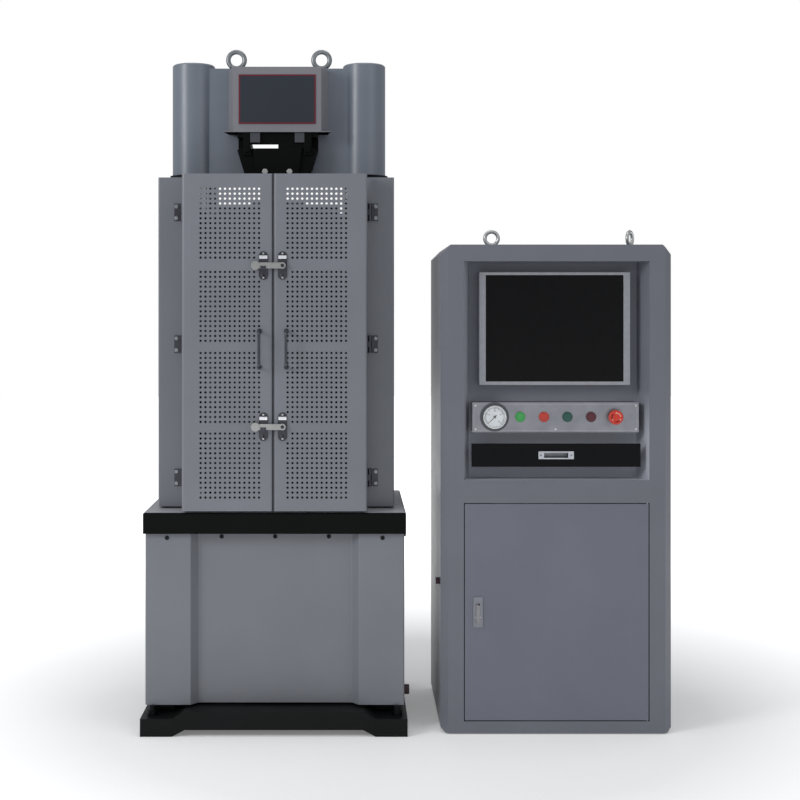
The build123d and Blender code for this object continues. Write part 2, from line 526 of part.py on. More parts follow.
def middle_crosshead():
    body = box(-MID_HALF_W, MID_HALF_W, -MID_HALF_D, MID_HALF_D, MID_Z0, MID_Z1)
    body = chamfer(body.edges().filter_by(Axis.Z), BOSS_EDGE)
    rounds = [Pos(x, 0) * Circle(MID_BOSS_R) for x in (-COLUMN_X, COLUMN_X)]
    rounds += [Pos(x, y) * Circle(MID_NUT_BOSS_R) for x, y in screw_places()]
    ears = make_hull([e for shape in rounds for e in shape.edges()])
    body += Pos(0, 0, MID_EAR_Z0) * extrude(ears, MID_EAR_Z1 - MID_EAR_Z0, dir=(0, 0, 1))
    for x in (-COLUMN_X, COLUMN_X):
        body -= rod_z(x, 0, MID_EAR_Z0, MID_EAR_Z1, COLUMN_R + BUSH_WALL)
    for x, y in screw_places():
        body -= rod_z(x, y, MID_EAR_Z0, MID_EAR_Z1, SCREW_R + BUSH_WALL)
        body -= rod_z(x, y, MID_Z0, MID_EAR_Z0, SCREW_R + BUSH_WALL + BUSH_FLANGE)
    return body - grip_cavity()


def grip_cavity():
    a1 = slope(LOWER_NARROW_Z, LOWER_NARROW_Z, -1)
    a0 = slope(MOUTH_Z0, LOWER_NARROW_Z, -1)
    points = [(-a0, MOUTH_Z0), (a0, MOUTH_Z0), (a1, LOWER_NARROW_Z), (a1, MID_Z1),
              (-a1, MID_Z1), (-a1, LOWER_NARROW_Z)]
    return front_prism(points, -JAW_BACK - SLIDE_FIT, JAW_BACK + SLIDE_FIT)


def lower_grip_cover():
    """Two keeper plates on top that hold the wedge jaws down, leaving the mouth open."""
    a = slope(LOWER_NARROW_Z, LOWER_NARROW_Z, -1)
    t = COVER_T
    ring = box(-a - 2 * t, a + 2 * t, -JAW_BACK - 3 * t, JAW_BACK + 3 * t, MID_Z1, MID_Z1 + t)
    ring -= box(-a / 2, a / 2, -JAW_BACK, JAW_BACK, MID_Z1, MID_Z1 + t)
    for x in (-a, a):
        for y in (-JAW_BACK - 3 * t / 2, JAW_BACK + 3 * t / 2):
            ring += hex_z(x, y, MID_Z1 + t, MID_Z1 + t + HEX_H, HEX_R)
    return ring


def crosshead_nuts():
    """Flanged bronze pieces: two guide bushes on the columns, two lead-screw nuts."""
    out = []
    places = [(x, 0, COLUMN_R) for x in (-COLUMN_X, COLUMN_X)]
    places += [(x, y, SCREW_R) for x, y in screw_places()]
    for x, y, r in places:
        outer = r + BUSH_WALL
        sleeve = rod_z(x, y, MID_EAR_Z0, MID_EAR_Z1, outer)
        sleeve += rod_z(x, y, MID_EAR_Z0 - BUSH_FLANGE_T, MID_EAR_Z0, outer + BUSH_FLANGE)
        out.append(sleeve - rod_z(x, y, MID_EAR_Z0 - BUSH_FLANGE_T, MID_EAR_Z1, r + RUN_FIT))
    return out


def platen(z, up):
    """Compression platen on a spigot; up is the direction of its working face."""
    disc_z = z + up * PLATEN_BOSS_T
    disc = rod_z(0, 0, disc_z, disc_z + up * PLATEN_T, PLATEN_R)
    disc = chamfer(disc.edges().filter_by(GeomType.CIRCLE), LOOSE)
    face = disc_z + up * PLATEN_T
    for k in (1, 2):
        r = k * PLATEN_R / 3
        groove = rod_z(0, 0, face - up * GROOVE_D, face, r + GROOVE_W / 2)
        disc -= groove - rod_z(0, 0, face - up * GROOVE_D, face, r - GROOVE_W / 2)
    return disc + rod_z(0, 0, z, disc_z, PLATEN_BOSS_R)


def lead_screw():
    """Screw with its smaller journal through the top plate and the drive case."""
    rod = rod_z(0, 0, SCREW_NECK_Z, SCREW_Z1, SCREW_R)
    rod = chamfer(rod.edges().group_by(Axis.Z)[-1], LOOSE)
    return rod + rod_z(0, 0, SCREW_Z0, SCREW_NECK_Z, SCREW_NECK_R)


# Guard

def side_panel():
    """Right-hand fixed panel: front face, rounded corner, side and rear lip, with its feet."""
    lip = PANEL_FRONT + PANEL_LIP
    path = [(PANEL_IN, lip), (PANEL_IN, PANEL_FRONT), (PANEL_OUT, PANEL_FRONT),
            (PANEL_OUT, PANEL_BACK), (PANEL_OUT - REAR_LIP, PANEL_BACK)]
    panel = bent_sheet(path, Side.LEFT, SHEET, BEND, GUARD_Z0, GUARD_Z1)
    x1, w = PANEL_OUT - SHEET, GUARD_FOOT_W
    for z in (GUARD_Z0, GUARD_Z1 - SHEET):
        panel += box(x1 - PANEL_FLANGE, x1, PANEL_FRONT + BEND * 2, PANEL_BACK - BEND * 2, z, z + SHEET)
    for y in (PANEL_FRONT + w, PANEL_BACK - w):
        panel += box(x1 - PANEL_FLANGE, x1, y - w / 2, y + w / 2, PLATE_Z1, GUARD_Z0)
    return panel


def guard_panels():
    rear = box(-REAR_HALF, REAR_HALF, PANEL_BACK, PANEL_BACK + SHEET, GUARD_Z0, REAR_Z1)
    rear += box(-REAR_HALF, REAR_HALF, PANEL_BACK, PANEL_BACK + PANEL_LIP, REAR_Z1 - SHEET, REAR_Z1)
    rear += box(-REAR_HALF, REAR_HALF, PANEL_BACK, PANEL_BACK + PANEL_LIP, GUARD_Z0, GUARD_Z0 + SHEET)
    return pair(side_panel()) + [rear]


def door_sheet(x_hinge, x_meet):
    """One guard door: flat front, rounded outer edge with a deep return, stiffening lips."""
    s = 1 if x_hinge > 0 else -1
    path = [(x_hinge, DOOR_REAR_Y), (x_hinge, DOOR_FRONT), (x_meet, DOOR_FRONT),
            (x_meet, DOOR_FRONT + DOOR_LIP)]
    side = Side.RIGHT if s > 0 else Side.LEFT
    wire = Wire(FilletPolyline(*path, radius=DOOR_BEND).edges())
    face = make_face(wire.offset_2d(SHEET, side=side))
    sheet = Pos(0, 0, DOOR_Z0) * extrude(face, DOOR_Z1 - DOOR_Z0, dir=(0, 0, 1))
    x_out, x_in = x_hinge - s * DOOR_BEND, x_meet + s * SHEET
    for z in (DOOR_Z0, DOOR_Z1 - SHEET):
        sheet += box(x_in, x_out, DOOR_FRONT + SHEET, DOOR_FRONT + DOOR_LIP, z, z + SHEET)
    return sheet


def right_door():
    return door_sheet(DOOR_HALF, MEET_X + MEET_GAP / 2)


def left_door():
    return door_sheet(-DOOR_HALF, MEET_X - MEET_GAP / 2)


def knuckle(z0, z1, bored):
    barrel = rod_z(PIVOT_X, PIVOT_Y, z0, z1, KNUCKLE_R)
    return barrel - rod_z(PIVOT_X, PIVOT_Y, z0, z1, PIN_R + RUN_FIT) if bored else barrel


def hinge_frames():
    """Fixed leaves on the side panels, each with two knuckles and the pin."""
    out = []
    y0 = PANEL_FRONT - HINGE_LEAF_T
    third = HINGE_H / 3
    for z in HINGE_Z:
        low, high = z - HINGE_H / 2, z + HINGE_H / 2
        leaf = box(PIVOT_X + KNUCKLE_R + HINGE_GAP, PIVOT_X + HINGE_LEAF, y0, PANEL_FRONT, low, high)
        leaf += knuckle(low, low + third, False) + knuckle(high - third, high, False)
        leaf += rod_z(PIVOT_X, PIVOT_Y, low, high, PIN_R)
        for za, zb in ((low, low + third), (high - third, high)):
            leaf += box(PIVOT_X, PIVOT_X + KNUCKLE_R + HINGE_GAP, y0, PANEL_FRONT - HINGE_GAP, za, zb)
        for zs in (low + third / 2, high - third / 2):
            leaf += screw_y(PIVOT_X + HINGE_LEAF / 2 + KNUCKLE_R, zs, y0, HINGE_GAP)
        out.append(leaf)
    return out + [mirror_x(leaf) for leaf in out]


def door_leaves():
    """Right-hand moving leaves: middle knuckle and a leaf on the door's side return."""
    out = []
    third = HINGE_H / 3
    for z in HINGE_Z:
        low, high = z - third / 2 + HINGE_GAP / 2, z + third / 2 - HINGE_GAP / 2
        y_front = DOOR_REAR_Y - HINGE_LEAF
        leaf = box(DOOR_HALF, DOOR_HALF + HINGE_LEAF_T, y_front, DOOR_REAR_Y, z - HINGE_H / 2,
                   z + HINGE_H / 2)
        link = box(DOOR_HALF, PIVOT_X, PIVOT_Y - KNUCKLE_R, PIVOT_Y, low, high)
        link -= rod_z(PIVOT_X, PIVOT_Y, low, high, PIN_R + RUN_FIT)
        out.append(leaf + (link + knuckle(low, high, True)))
    return out


def latch_plate(x, z):
    slot = SlotOverall(LATCH_PLATE_H, LATCH_PLATE_W)
    plate = Rot(90, 0, 0) * (Rot(0, 0, 90) * extrude(slot, LATCH_PLATE_T))
    plate = Pos(x, DOOR_FRONT, z) * plate
    for s in (-1, 1):
        offset = s * (LATCH_PLATE_H - LATCH_PLATE_W) / 2
        plate += screw_y(x, z + offset, DOOR_FRONT - LATCH_PLATE_T, LATCH_PLATE_T)
    return plate


def latch_faces():
    """Front and back planes of the latch arm."""
    back = DOOR_FRONT - LATCH_PLATE_T - SCREW_HEAD_H - ARM_GAP
    return back - ARM_T, back


def latch_base(z):
    """Right-hand base: rounded plate with the pivot boss and the staple's bright ledge."""
    x = MEET_X + LATCH_OFF
    y_front, y_back = latch_faces()
    base = latch_plate(x, z)
    base += rod_y(x, z, y_back + ARM_GAP / 2, DOOR_FRONT, LATCH_BOSS_R)
    base += rod_y(x, z, y_front - ARM_GAP, DOOR_FRONT, LATCH_PIN_R)
    return base


def latch_catch(z):
    """Left-hand catch: plate, ledge under the arm and a low front lip that holds it."""
    x = MEET_X - LATCH_OFF
    y_front, y_back = latch_faces()
    top = z - ARM_H / 2 - SLIDE_FIT
    lip = y_front - ARM_GAP
    catch = latch_plate(x, z)
    catch += box(x - LEDGE_W / 2, x + LEDGE_W / 2, lip, DOOR_FRONT, top - LEDGE_T, top)
    catch += box(x - LEDGE_W / 2, x + LEDGE_W / 2, lip - LEDGE_T, lip, top - LEDGE_T, top + LIP_H)
    return catch


def latch_arm(z):
    """Flat arm from the pivot to its round knob, thinned where it lies in the catch."""
    x = MEET_X + LATCH_OFF
    y_front, y_back = latch_faces()
    tip = x - ARM_LEFT
    arm = box(tip, x, y_front, y_back, z - ARM_H / 2, z + ARM_H / 2)
    arm += rod_y(x, z, y_front, y_back, ARM_H / 2 + ARM_GAP)
    arm += rod_y(tip, z, y_front - KNOB_T / 3, y_back, KNOB_R)
    return arm - rod_y(x, z, y_front, y_back, LATCH_PIN_R + RUN_FIT)


def bow_handle(x):
    y0 = DOOR_FRONT
    low, high = HANDLE_Z - HANDLE_L / 2, HANDLE_Z + HANDLE_L / 2
    path = FilletPolyline((x, y0, low), (x, y0 - HANDLE_OUT, low), (x, y0 - HANDLE_OUT, high),
                          (x, y0, high), radius=HANDLE_OUT / 3)
    start = Plane(origin=(x, y0, low), z_dir=(0, -1, 0))
    bow = sweep(start * Circle(HANDLE_R), path=path)
    for z in (low, high):
        bow += rod_y(x, z, y0 - HANDLE_FOOT_H, y0, HANDLE_FOOT_R)
    return bow


def right_fittings():
    return door_leaves() + [latch_base(z) for z in LATCH_Z]


def left_fittings():
    return [mirror_x(leaf) for leaf in door_leaves()] + [latch_catch(z) for z in LATCH_Z]


# Control cabinet

def cabinet_outline(inset):
    a, b, c = CAB_W / 2 - inset, CAB_CORNER, CAB_CHAMFER
    z0, z1 = CAB_FOOT_H + inset, CAB_H - inset
    return [(-a + b, z0), (a - b, z0), (a, z0 + b), (a, z1 - c), (a - c, z1), (-a + c, z1),
            (-a, z1 - c), (-a, z0 + b)]


def cabinet_shell():
    """Folded body with bevelled front edges, front openings, vents, floor and hose ports."""
    y0, y1 = CAB_FRONT, CAB_FRONT + CAB_D
    outer = front_prism(cabinet_outline(0), y0, y1)
    edges = [e for e in outer.edges().filter_by(Axis.Z)
             if abs(e.center().Y - y0) < SEAT and abs(e.center().X) > CAB_W / 2 - SEAT]
    outer = chamfer(edges, CAB_BEVEL)
    inner = front_prism(cabinet_outline(CAB_SKIN), y0 + CAB_SKIN, y1 - CAB_SKIN)
    edges = [e for e in inner.edges().filter_by(Axis.Z)
             if abs(e.center().Y - y0 - CAB_SKIN) < SEAT and abs(e.center().X) > CAB_W / 2 - CAB_BEVEL]
    inner = chamfer(edges, CAB_BEVEL - SEAT)
    shell = outer - inner
    shell -= box(-TUB_HALF, TUB_HALF, y0, y0 + BEND, TUB_Z0, TUB_Z1)
    g = CDOOR_GAP
    shell -= box(-CDOOR_HALF - g, CDOOR_HALF + g, y0, y0 + BEND, CDOOR_Z0 - g, CDOOR_Z1 + g)
    for i in range(VENT_ROWS):
        z = CAB_H / 2 + i * VENT_PITCH
        shell -= box(-VENT_W, VENT_W, y1 - BEND, y1, z, z + VENT_H)
    for x in EYE10_X:
        shell -= rod_z(x, EYE10_Y, CAB_H - BEND, CAB_H, EYE10_SHANK_R + SEAT)
    side = -CAB_W / 2
    shell += rod_x(SIDE_PORT_Y, SIDE_PORT_Z, side - SIDE_PORT_OUT, side, SIDE_PORT_R)
    shell += rod_y(REAR_PORT_X, REAR_PORT_Z, y1, y1 + PORT_OUT, PORT_R)
    shell -= rod_y(REAR_PORT_X, REAR_PORT_Z, y1 - CAB_SKIN, y1 + PORT_OUT, PORT_BORE)
    return shell + cabinet_feet()


def cabinet_feet():
    x, y = CAB_W / 2 - CAB_FOOT_IN, CAB_D / 2 - CAB_FOOT_IN
    middle = CAB_FRONT + CAB_D / 2
    feet = [rod_z(a, middle + b, 0, CAB_FOOT_H, CAB_FOOT_R) for a in (-x, x) for b in (-y, y)]
    return feet[0] + feet[1] + feet[2] + feet[3]


def recess_tub():
    """Flared tray behind the upper opening, its back cut for monitor, controls and drawer."""
    h, z0, z1, k = TUB_HALF, TUB_Z0, TUB_Z1, TUB_TAPER
    y0, y1, t = CAB_FRONT + CAB_SKIN, CAB_FRONT + CAB_SKIN + TUB_DEEP, CAB_SKIN
    outer = tub_solid(h + t, h + t - k, z0 - t, z1 + t, y0, y1)
    inner = tub_solid(h, h - k, z0, z1, y0, y1 - t)
    tub = outer - inner
    rim = box(-h - TUB_RIM, h + TUB_RIM, y0, y0 + t, z0 - TUB_RIM, z1 + TUB_RIM)
    tub += rim - box(-h, h, y0, y0 + t, z0, z1)
    side = TRAY_HALF + RUNNER_W + 2 * RUNNER_GAP
    return tub - box(-side, side, y1 - BEND, y1, DRAWER_Z0 + TRAY_CUT_LOW, DRAWER_Z1 - TRAY_CUT_HIGH)


def tub_solid(front_half, back_half, z0, z1, y0, y1):
    return plan_prism([(-front_half, y0), (front_half, y0), (back_half, y1), (-back_half, y1)], z0, z1)


def monitor():
    """Bezel with its rear case standing on the recess back."""
    y_back = CAB_FRONT + TUB_DEEP
    y0 = y_back - FRAME_T - FRAME_OUT
    frame = box(-FRAME_HALF, FRAME_HALF, y0, y0 + FRAME_T, FRAME_Z0, FRAME_Z1)
    frame -= box(-SCREEN_HALF, SCREEN_HALF, y0, y0 + SCREEN_IN + SHEET_THICK, SCREEN_Z0, SCREEN_Z1)
    inset = 2 * (FRAME_HALF - SCREEN_HALF)
    frame += box(-FRAME_HALF + inset, FRAME_HALF - inset, y0 + FRAME_T, y_back, FRAME_Z0 + inset,
                 FRAME_Z1 - inset)
    return frame


def monitor_screen():
    y0 = CAB_FRONT + TUB_DEEP - FRAME_T - FRAME_OUT + SCREEN_IN
    return box(-SCREEN_HALF, SCREEN_HALF, y0, y0 + SHEET_THICK, SCREEN_Z0, SCREEN_Z1)


def control_panel():
    """Brushed plate folded back to the recess at top and bottom, drilled for its controls."""
    y0, y1 = CONTROL_Y, CAB_FRONT + TUB_DEEP
    t = CONTROL_T
    plate = box(-PANEL_HALF, PANEL_HALF, y0, y0 + t, CONTROL_Z0, CONTROL_Z1)
    for z in (CONTROL_Z0, CONTROL_Z1 - t):
        plate += box(-PANEL_HALF + t, PANEL_HALF - t, y0, y1, z, z + t)
    for x in BUTTON_X:
        plate -= rod_y(x, BUTTON_Z, y0, y0 + t, BUTTON_BODY_R + SEAT)
    plate -= rod_y(STOP_X, BUTTON_Z, y0, y0 + t, BUTTON_BODY_R + SEAT)
    plate -= rod_y(GAUGE_X, BUTTON_Z, y0, y0 + t, GAUGE_CAN_R + SEAT)
    a = PANEL_HALF - CONTROL_SCREW_IN
    for x, z in [(-a, CONTROL_Z0), (a, CONTROL_Z0), (-a, CONTROL_Z1), (a, CONTROL_Z1), (0, CONTROL_Z0)]:
        z += CONTROL_SCREW_IN if z == CONTROL_Z0 else -CONTROL_SCREW_IN
        plate += rod_y(x, z, y0 - SHEET, y0, SCREW_HEAD_R / 2)
    return plate


def gauge_body():
    """Pressure gauge: flanged can, raised bezel ring and dial with its needle pin."""
    y0 = CONTROL_Y
    face = y0 - GAUGE_OUT
    body = rod_y(GAUGE_X, BUTTON_Z, y0 - SHEET, y0, GAUGE_FLANGE_R)
    body += rod_y(GAUGE_X, BUTTON_Z, face, y0 - SHEET, GAUGE_R)
    body += rod_y(GAUGE_X, BUTTON_Z, y0, y0 + GAUGE_CAN_L, GAUGE_CAN_R)
    body -= rod_y(GAUGE_X, BUTTON_Z, face, face + 2 * GAUGE_BEZEL, GAUGE_R - GAUGE_BEZEL)
    return body + rod_y(GAUGE_X, BUTTON_Z, face + GAUGE_BEZEL, y0, NEEDLE_W / 2)


def gauge_needle():
    dial = CONTROL_Y - GAUGE_OUT + 2 * GAUGE_BEZEL
    y1 = dial - NEEDLE_T / 2
    hub = rod_y(0, 0, y1 - 2 * NEEDLE_T, y1, NEEDLE_HUB_R)
    blade = front_prism([(-NEEDLE_L / 3, -NEEDLE_W / 2), (NEEDLE_L, -NEEDLE_W / 6),
                         (NEEDLE_L, NEEDLE_W / 6), (-NEEDLE_L / 3, NEEDLE_W / 2)],
                        y1 - NEEDLE_T, y1)
    pin = rod_y(0, 0, y1 - 3 * NEEDLE_T, y1, NEEDLE_W / 2 + RUN_FIT)
    turned = Pos(GAUGE_X, 0, BUTTON_Z) * Rot(0, NEEDLE_REST, 0)
    return turned * (hub + blade - pin)


def button_bezels():
    """Chromed rings with their contact blocks behind, and the stop button's collar."""
    out = []
    places = [(x, BEZEL_R) for x in BUTTON_X] + [(STOP_X, STOP_BEZEL_R)]
    for x, r in places:
        y0 = CONTROL_Y
        body = rod_y(x, BUTTON_Z, y0 - BEZEL_H, y0, r)
        body += rod_y(x, BUTTON_Z, y0, y0 + BUTTON_BODY_L, BUTTON_BODY_R)
        depth = 2 * BUTTON_STROKE
        if x == STOP_X:
            body -= rod_y(x, BUTTON_Z, y0 - BEZEL_H, y0 + 2 * depth, STOP_NECK_R * 2 / 3 + LOOSE / 3)
        else:
            body -= rod_y(x, BUTTON_Z, y0 - BEZEL_H, y0, CAP_BUTTON_R + SLIDE_FIT)
            body -= rod_y(x, BUTTON_Z, y0, y0 + depth, CAP_BUTTON_R - LOOSE)
        out.append(body)
    return out


def button_cap(x):
    """Push cap: wide rim in the bezel on a plunger that slides in the contact block."""
    rim_back = CONTROL_Y - BUTTON_STROKE - SLIDE_FIT
    cap = rod_y(x, BUTTON_Z, CONTROL_Y - BEZEL_H - BUTTON_OUT, rim_back, CAP_BUTTON_R)
    cap = fillet(cap.edges().group_by(Axis.Y)[0], LOOSE / 2)
    plunger = CAP_BUTTON_R - LOOSE - SLIDE_FIT
    return cap + rod_y(x, BUTTON_Z, rim_back, CONTROL_Y + BUTTON_STROKE, plunger)


def stop_button():
    """Mushroom head on its stem."""
    y0 = CONTROL_Y - BEZEL_H - STOP_GAP
    head = rod_y(STOP_X, BUTTON_Z, y0 - STOP_H, y0, STOP_R)
    head = fillet(head.edges().group_by(Axis.Y)[0], STOP_H / 3)
    return head + rod_y(STOP_X, BUTTON_Z, y0, CONTROL_Y + BUTTON_STROKE, STOP_NECK_R * 2 / 3)


def drawer():
    """Keyboard drawer: black front with a cup pull opening, steel tray and moving runners."""
    y0, t = DRAWER_Y, DRAWER_T
    front = box(-DRAWER_HALF, DRAWER_HALF, y0, y0 + t, DRAWER_Z0, DRAWER_Z1)
    z_mid = (DRAWER_Z0 + DRAWER_Z1) / 2
    front -= box(-PULL_CUP_HALF, PULL_CUP_HALF, y0, y0 + t, z_mid - PULL_H / 2 + PULL_T,
                 z_mid + PULL_H / 2 - PULL_T)
    z0, z1, w = TRAY_Z0, TRAY_Z0 + TRAY_H, TRAY_WALL
    tray = box(-TRAY_HALF, TRAY_HALF, y0 + t, y0 + t + TRAY_DEEP, z0, z1)
    tray -= box(-TRAY_HALF + w, TRAY_HALF - w, y0 + t, y0 + t + TRAY_DEEP - w, z0 + w, z1)
    runner = box(TRAY_HALF, TRAY_HALF + RUNNER_W / 2, y0 + t + BEND, y0 + t + TRAY_DEEP,
                 z0 + BEND, z0 + BEND + RUNNER_H / 2)
    return front + tray + runner + mirror_x(runner)


def drawer_pull():
    """Flush cup pull pressed into the drawer front."""
    z_mid = (DRAWER_Z0 + DRAWER_Z1) / 2
    h, t, y0 = PULL_H / 2, PULL_T, DRAWER_Y
    pull = box(-PULL_HALF, PULL_HALF, y0 - t, y0, z_mid - h, z_mid + h)
    cup = box(-PULL_CUP_HALF, PULL_CUP_HALF, y0, y0 + 2 * h, z_mid - h + t, z_mid + h - t)
    inside = box(-PULL_CUP_HALF + t, PULL_CUP_HALF - t, y0 - t, y0 + 2 * h - t, z_mid - h + 2 * t,
                 z_mid + h - 2 * t)
    return pull + cup - inside


def drawer_runners():
    """Outer rails on brackets from the recess back."""
    y0 = CAB_FRONT + CAB_SKIN + TUB_DEEP
    y1 = DRAWER_Y + DRAWER_T + TRAY_DEEP
    x0 = TRAY_HALF + RUNNER_W / 2 + RUNNER_GAP
    zc = TRAY_Z0 + BEND + RUNNER_H / 4
    rail = box(x0, x0 + RUNNER_W / 2, y0, y1, zc - RUNNER_H / 2, zc + RUNNER_H / 2)
    flange = box(x0, x0 + 2 * RUNNER_W, y0, y0 + SHEET, zc - RUNNER_H / 2, zc + RUNNER_H / 2)
    return pair(rail + flange)


def keyboard():
    """Low keyboard lying in the tray, one plate with its rows of keys."""
    z0 = TRAY_Z0 + TRAY_WALL
    y0 = DRAWER_Y + DRAWER_T + 2 * PULL_H
    body = box(-KEYS_HALF, KEYS_HALF, y0, y0 + KEYS_D, z0, z0 + KEYS_T)
    pitch = KEY + KEY_GAP
    for row in range(KEY_ROWS):
        y = y0 + (KEYS_D - KEY_ROWS * pitch) / 2 + row * pitch
        x = KEY_COLS * pitch / 2
        body += box(-x, x, y, y + KEY, z0 + KEYS_T, z0 + KEYS_T + KEY_H)
    return body


def cabinet_door():
    """Lower door: folded tray, set just behind the cabinet face."""
    y0 = CAB_FRONT + CDOOR_IN
    h, t = CDOOR_HALF, CAB_SKIN
    door = box(-h, h, y0, y0 + CDOOR_LIP, CDOOR_Z0, CDOOR_Z1)
    door -= box(-h + t, h - t, y0 + t, y0 + CDOOR_LIP, CDOOR_Z0 + t, CDOOR_Z1 - t)
    for z in (CDOOR_Z0, CDOOR_Z1 - t):
        door -= rod_z(h - CPIN_IN_X, y0 + CPIN_IN_Y, z, z + t, CPIN_R + RUN_FIT)
    slot_w, slot_h = LOCK_W / 2 - t, LOCK_H / 2 - t
    return door - box(LOCK_X - slot_w, LOCK_X + slot_w, y0, y0 + t, LOCK_Z - slot_h, LOCK_Z + slot_h)


def door_lock():
    """Flush swing-handle lock: escutcheon with rounded corners and its body behind the sheet."""
    y0 = CAB_FRONT + CDOOR_IN
    a, h = LOCK_W / 2, LOCK_H / 2
    plate = box(LOCK_X - a, LOCK_X + a, y0 - LOCK_OUT, y0, LOCK_Z - h, LOCK_Z + h)
    plate = fillet(plate.edges().filter_by(Axis.Y), LOCK_ROUND)
    slot_w, slot_h = LOCK_W / 2 - CAB_SKIN, LOCK_H / 2 - CAB_SKIN
    body = box(LOCK_X - slot_w, LOCK_X + slot_w, y0, y0 + CDOOR_LIP, LOCK_Z - slot_h, LOCK_Z + slot_h)
    return plate + body


def lock_lever():
    """Short lever on the lock's face."""
    y0 = CAB_FRONT + CDOOR_IN - LOCK_OUT
    r = LEVER_W / 2
    bar = Pos(LOCK_X, y0 - LOOSE / 3, LEVER_Z - LEVER_L / 2 + r) * (
        Rot(90, 0, 0) * (Rot(0, 0, 90) * extrude(SlotOverall(LEVER_L, LEVER_W), LEVER_T)))
    return bar + rod_y(LOCK_X, LEVER_Z, y0 - LEVER_T, y0, r / 2)


def cabinet_hinges():
    """Pivot brackets behind the cabinet face, their pins through the door's folded edges."""
    y_skin = CAB_FRONT + CAB_SKIN
    x, y = CDOOR_HALF - CPIN_IN_X, CAB_FRONT + CDOOR_IN + CPIN_IN_Y
    out = []
    for z, up in ((CDOOR_Z0, -1), (CDOOR_Z1, 1)):
        z_arm = z + up * CPIN_UP
        arm = box(x - CPIN_ARM_W / 2, x + CPIN_ARM_W, y_skin, y_skin + CPIN_ARM_W / 2, z_arm,
                  z_arm + up * CPIN_ARM_T)
        out.append(arm + rod_z(x, y, z - up * CAB_SKIN, z_arm, CPIN_R))
    return out


def hydraulic_unit():
    """Oil tank on the cabinet floor with lid, motor pump and valve block."""
    y0 = CAB_FRONT + CAB_D - CAB_SKIN - TANK_D - BEND
    y1, z1 = y0 + TANK_D, TANK_Z1
    low = CAB_FOOT_H + CAB_SKIN
    unit = box(-TANK_HALF_W, TANK_HALF_W, y0, y1, low, z1)
    lip = TANK_LID
    unit += box(-TANK_HALF_W - lip, TANK_HALF_W + lip, y0 - lip, y1, z1, z1 + lip)
    yc = (y0 + y1) / 2
    x0 = PUMP_X - PUMP_L / 2
    unit += rod_x(yc, PUMP_Z, x0, x0 + PUMP_L, PUMP_R)
    unit += rod_x(yc, PUMP_Z, x0 + PUMP_L, x0 + PUMP_L + PUMP_R, PUMP_R * 2 / 3)
    unit += box(x0, x0 + PUMP_L, yc - PUMP_R / 2, yc + PUMP_R / 2, z1, PUMP_Z)
    unit += box(VALVE_X, VALVE_X + VALVE_W, yc - VALVE_D / 2, yc + VALVE_D / 2, z1, z1 + VALVE_H + lip)
    unit += rod_z(VALVE_X + VALVE_W / 2, yc, z1 + VALVE_H, z1 + 2 * VALVE_H, VALVE_W / 4)
    return unit


def cabinet_eyebolts():
    return [eye_bolt(x, EYE10_Y, CAB_H, turn, EYE10_RING_R, EYE10_WIRE_R, EYE10_COLLAR_R,
                     EYE10_COLLAR_H, EYE10_RISE, EYE10_SHANK_R, EYE10_SHANK_L)
            for x, turn in zip(EYE10_X, EYE10_TURNS)]


def screw_at(place):
    return Pos(place[0], place[1], 0) * lead_screw()


def tower_nodes():
    upper, lower = upper_jaw(), lower_jaw()
    return {
        "base_frame": base_frame(),
        "leveling_bolts": leveling_bolts(),
        "housing_front": housing_front(),
        "housing_wrap": housing_wrap(),
        "housing_screws": housing_screws(),
        "top_plate": top_plate(),
        "main_cylinder": main_cylinder(),
        "crosshead_drive": crosshead_drive(),
        "guard_panels": guard_panels(),
        "hinge_frames": hinge_frames(),
        "piston": piston(),
        "worktable": worktable(),
        "columns": columns() + column_nuts(),
        "upper_crosshead": upper_crosshead(),
        "name_box": name_box(),
        "nameplate": nameplate(),
        "crosshead_eyebolts": crosshead_eyebolts(),
        "upper_grip_cheeks": upper_grip_cheeks(),
        "upper_grip_front": upper_grip_links() + [upper_grip_cover()],
        "upper_jaw_right": upper,
        "upper_jaw_left": mirror_x(upper),
        "lower_platen": platen(TABLE_Z1, 1),
        "middle_crosshead": middle_crosshead(),
        "crosshead_nuts": crosshead_nuts(),
        "lower_grip_cover": lower_grip_cover(),
        "lower_jaw_right": lower,
        "lower_jaw_left": mirror_x(lower),
        "upper_platen": platen(MID_Z0, -1),
        "lead_screw_left": screw_at(screw_places()[0]),
        "lead_screw_right": screw_at(screw_places()[1]),
        "left_door": left_door(),
        "right_door": right_door(),
        "left_door_fittings": left_fittings(),
        "right_door_fittings": right_fittings(),
        "left_door_handle": bow_handle(MEET_X - HANDLE_X),
        "right_door_handle": bow_handle(MEET_X + HANDLE_X),
        "lower_latch_arm": latch_arm(LATCH_Z[0]),
        "upper_latch_arm": latch_arm(LATCH_Z[1]),
    }


def cabinet_nodes():
    names = ("button_start", "button_stop", "button_pump_on", "button_pump_off")
    nodes = {
        "cabinet_shell": cabinet_shell(),
        "recess_tub": recess_tub(),
        "monitor": monitor(),
        "monitor_screen": monitor_screen(),
        "control_panel": control_panel(),
        "pressure_gauge": gauge_body(),
        "gauge_needle": gauge_needle(),
        "button_bezels": button_bezels(),
        "emergency_stop": stop_button(),
        "keyboard_drawer": drawer(),
        "drawer_pull": drawer_pull(),
        "cabinet_fittings": drawer_runners() + cabinet_hinges(),
        "keyboard": keyboard(),
        "cabinet_door": cabinet_door(),
        "door_lock": door_lock(),
        "lock_lever": lock_lever(),
        "hydraulic_unit": hydraulic_unit(),
        "cabinet_eyebolts": cabinet_eyebolts(),
    }
    nodes.update({name: button_cap(x) for name, x in zip(names, BUTTON_X)})
    return nodes


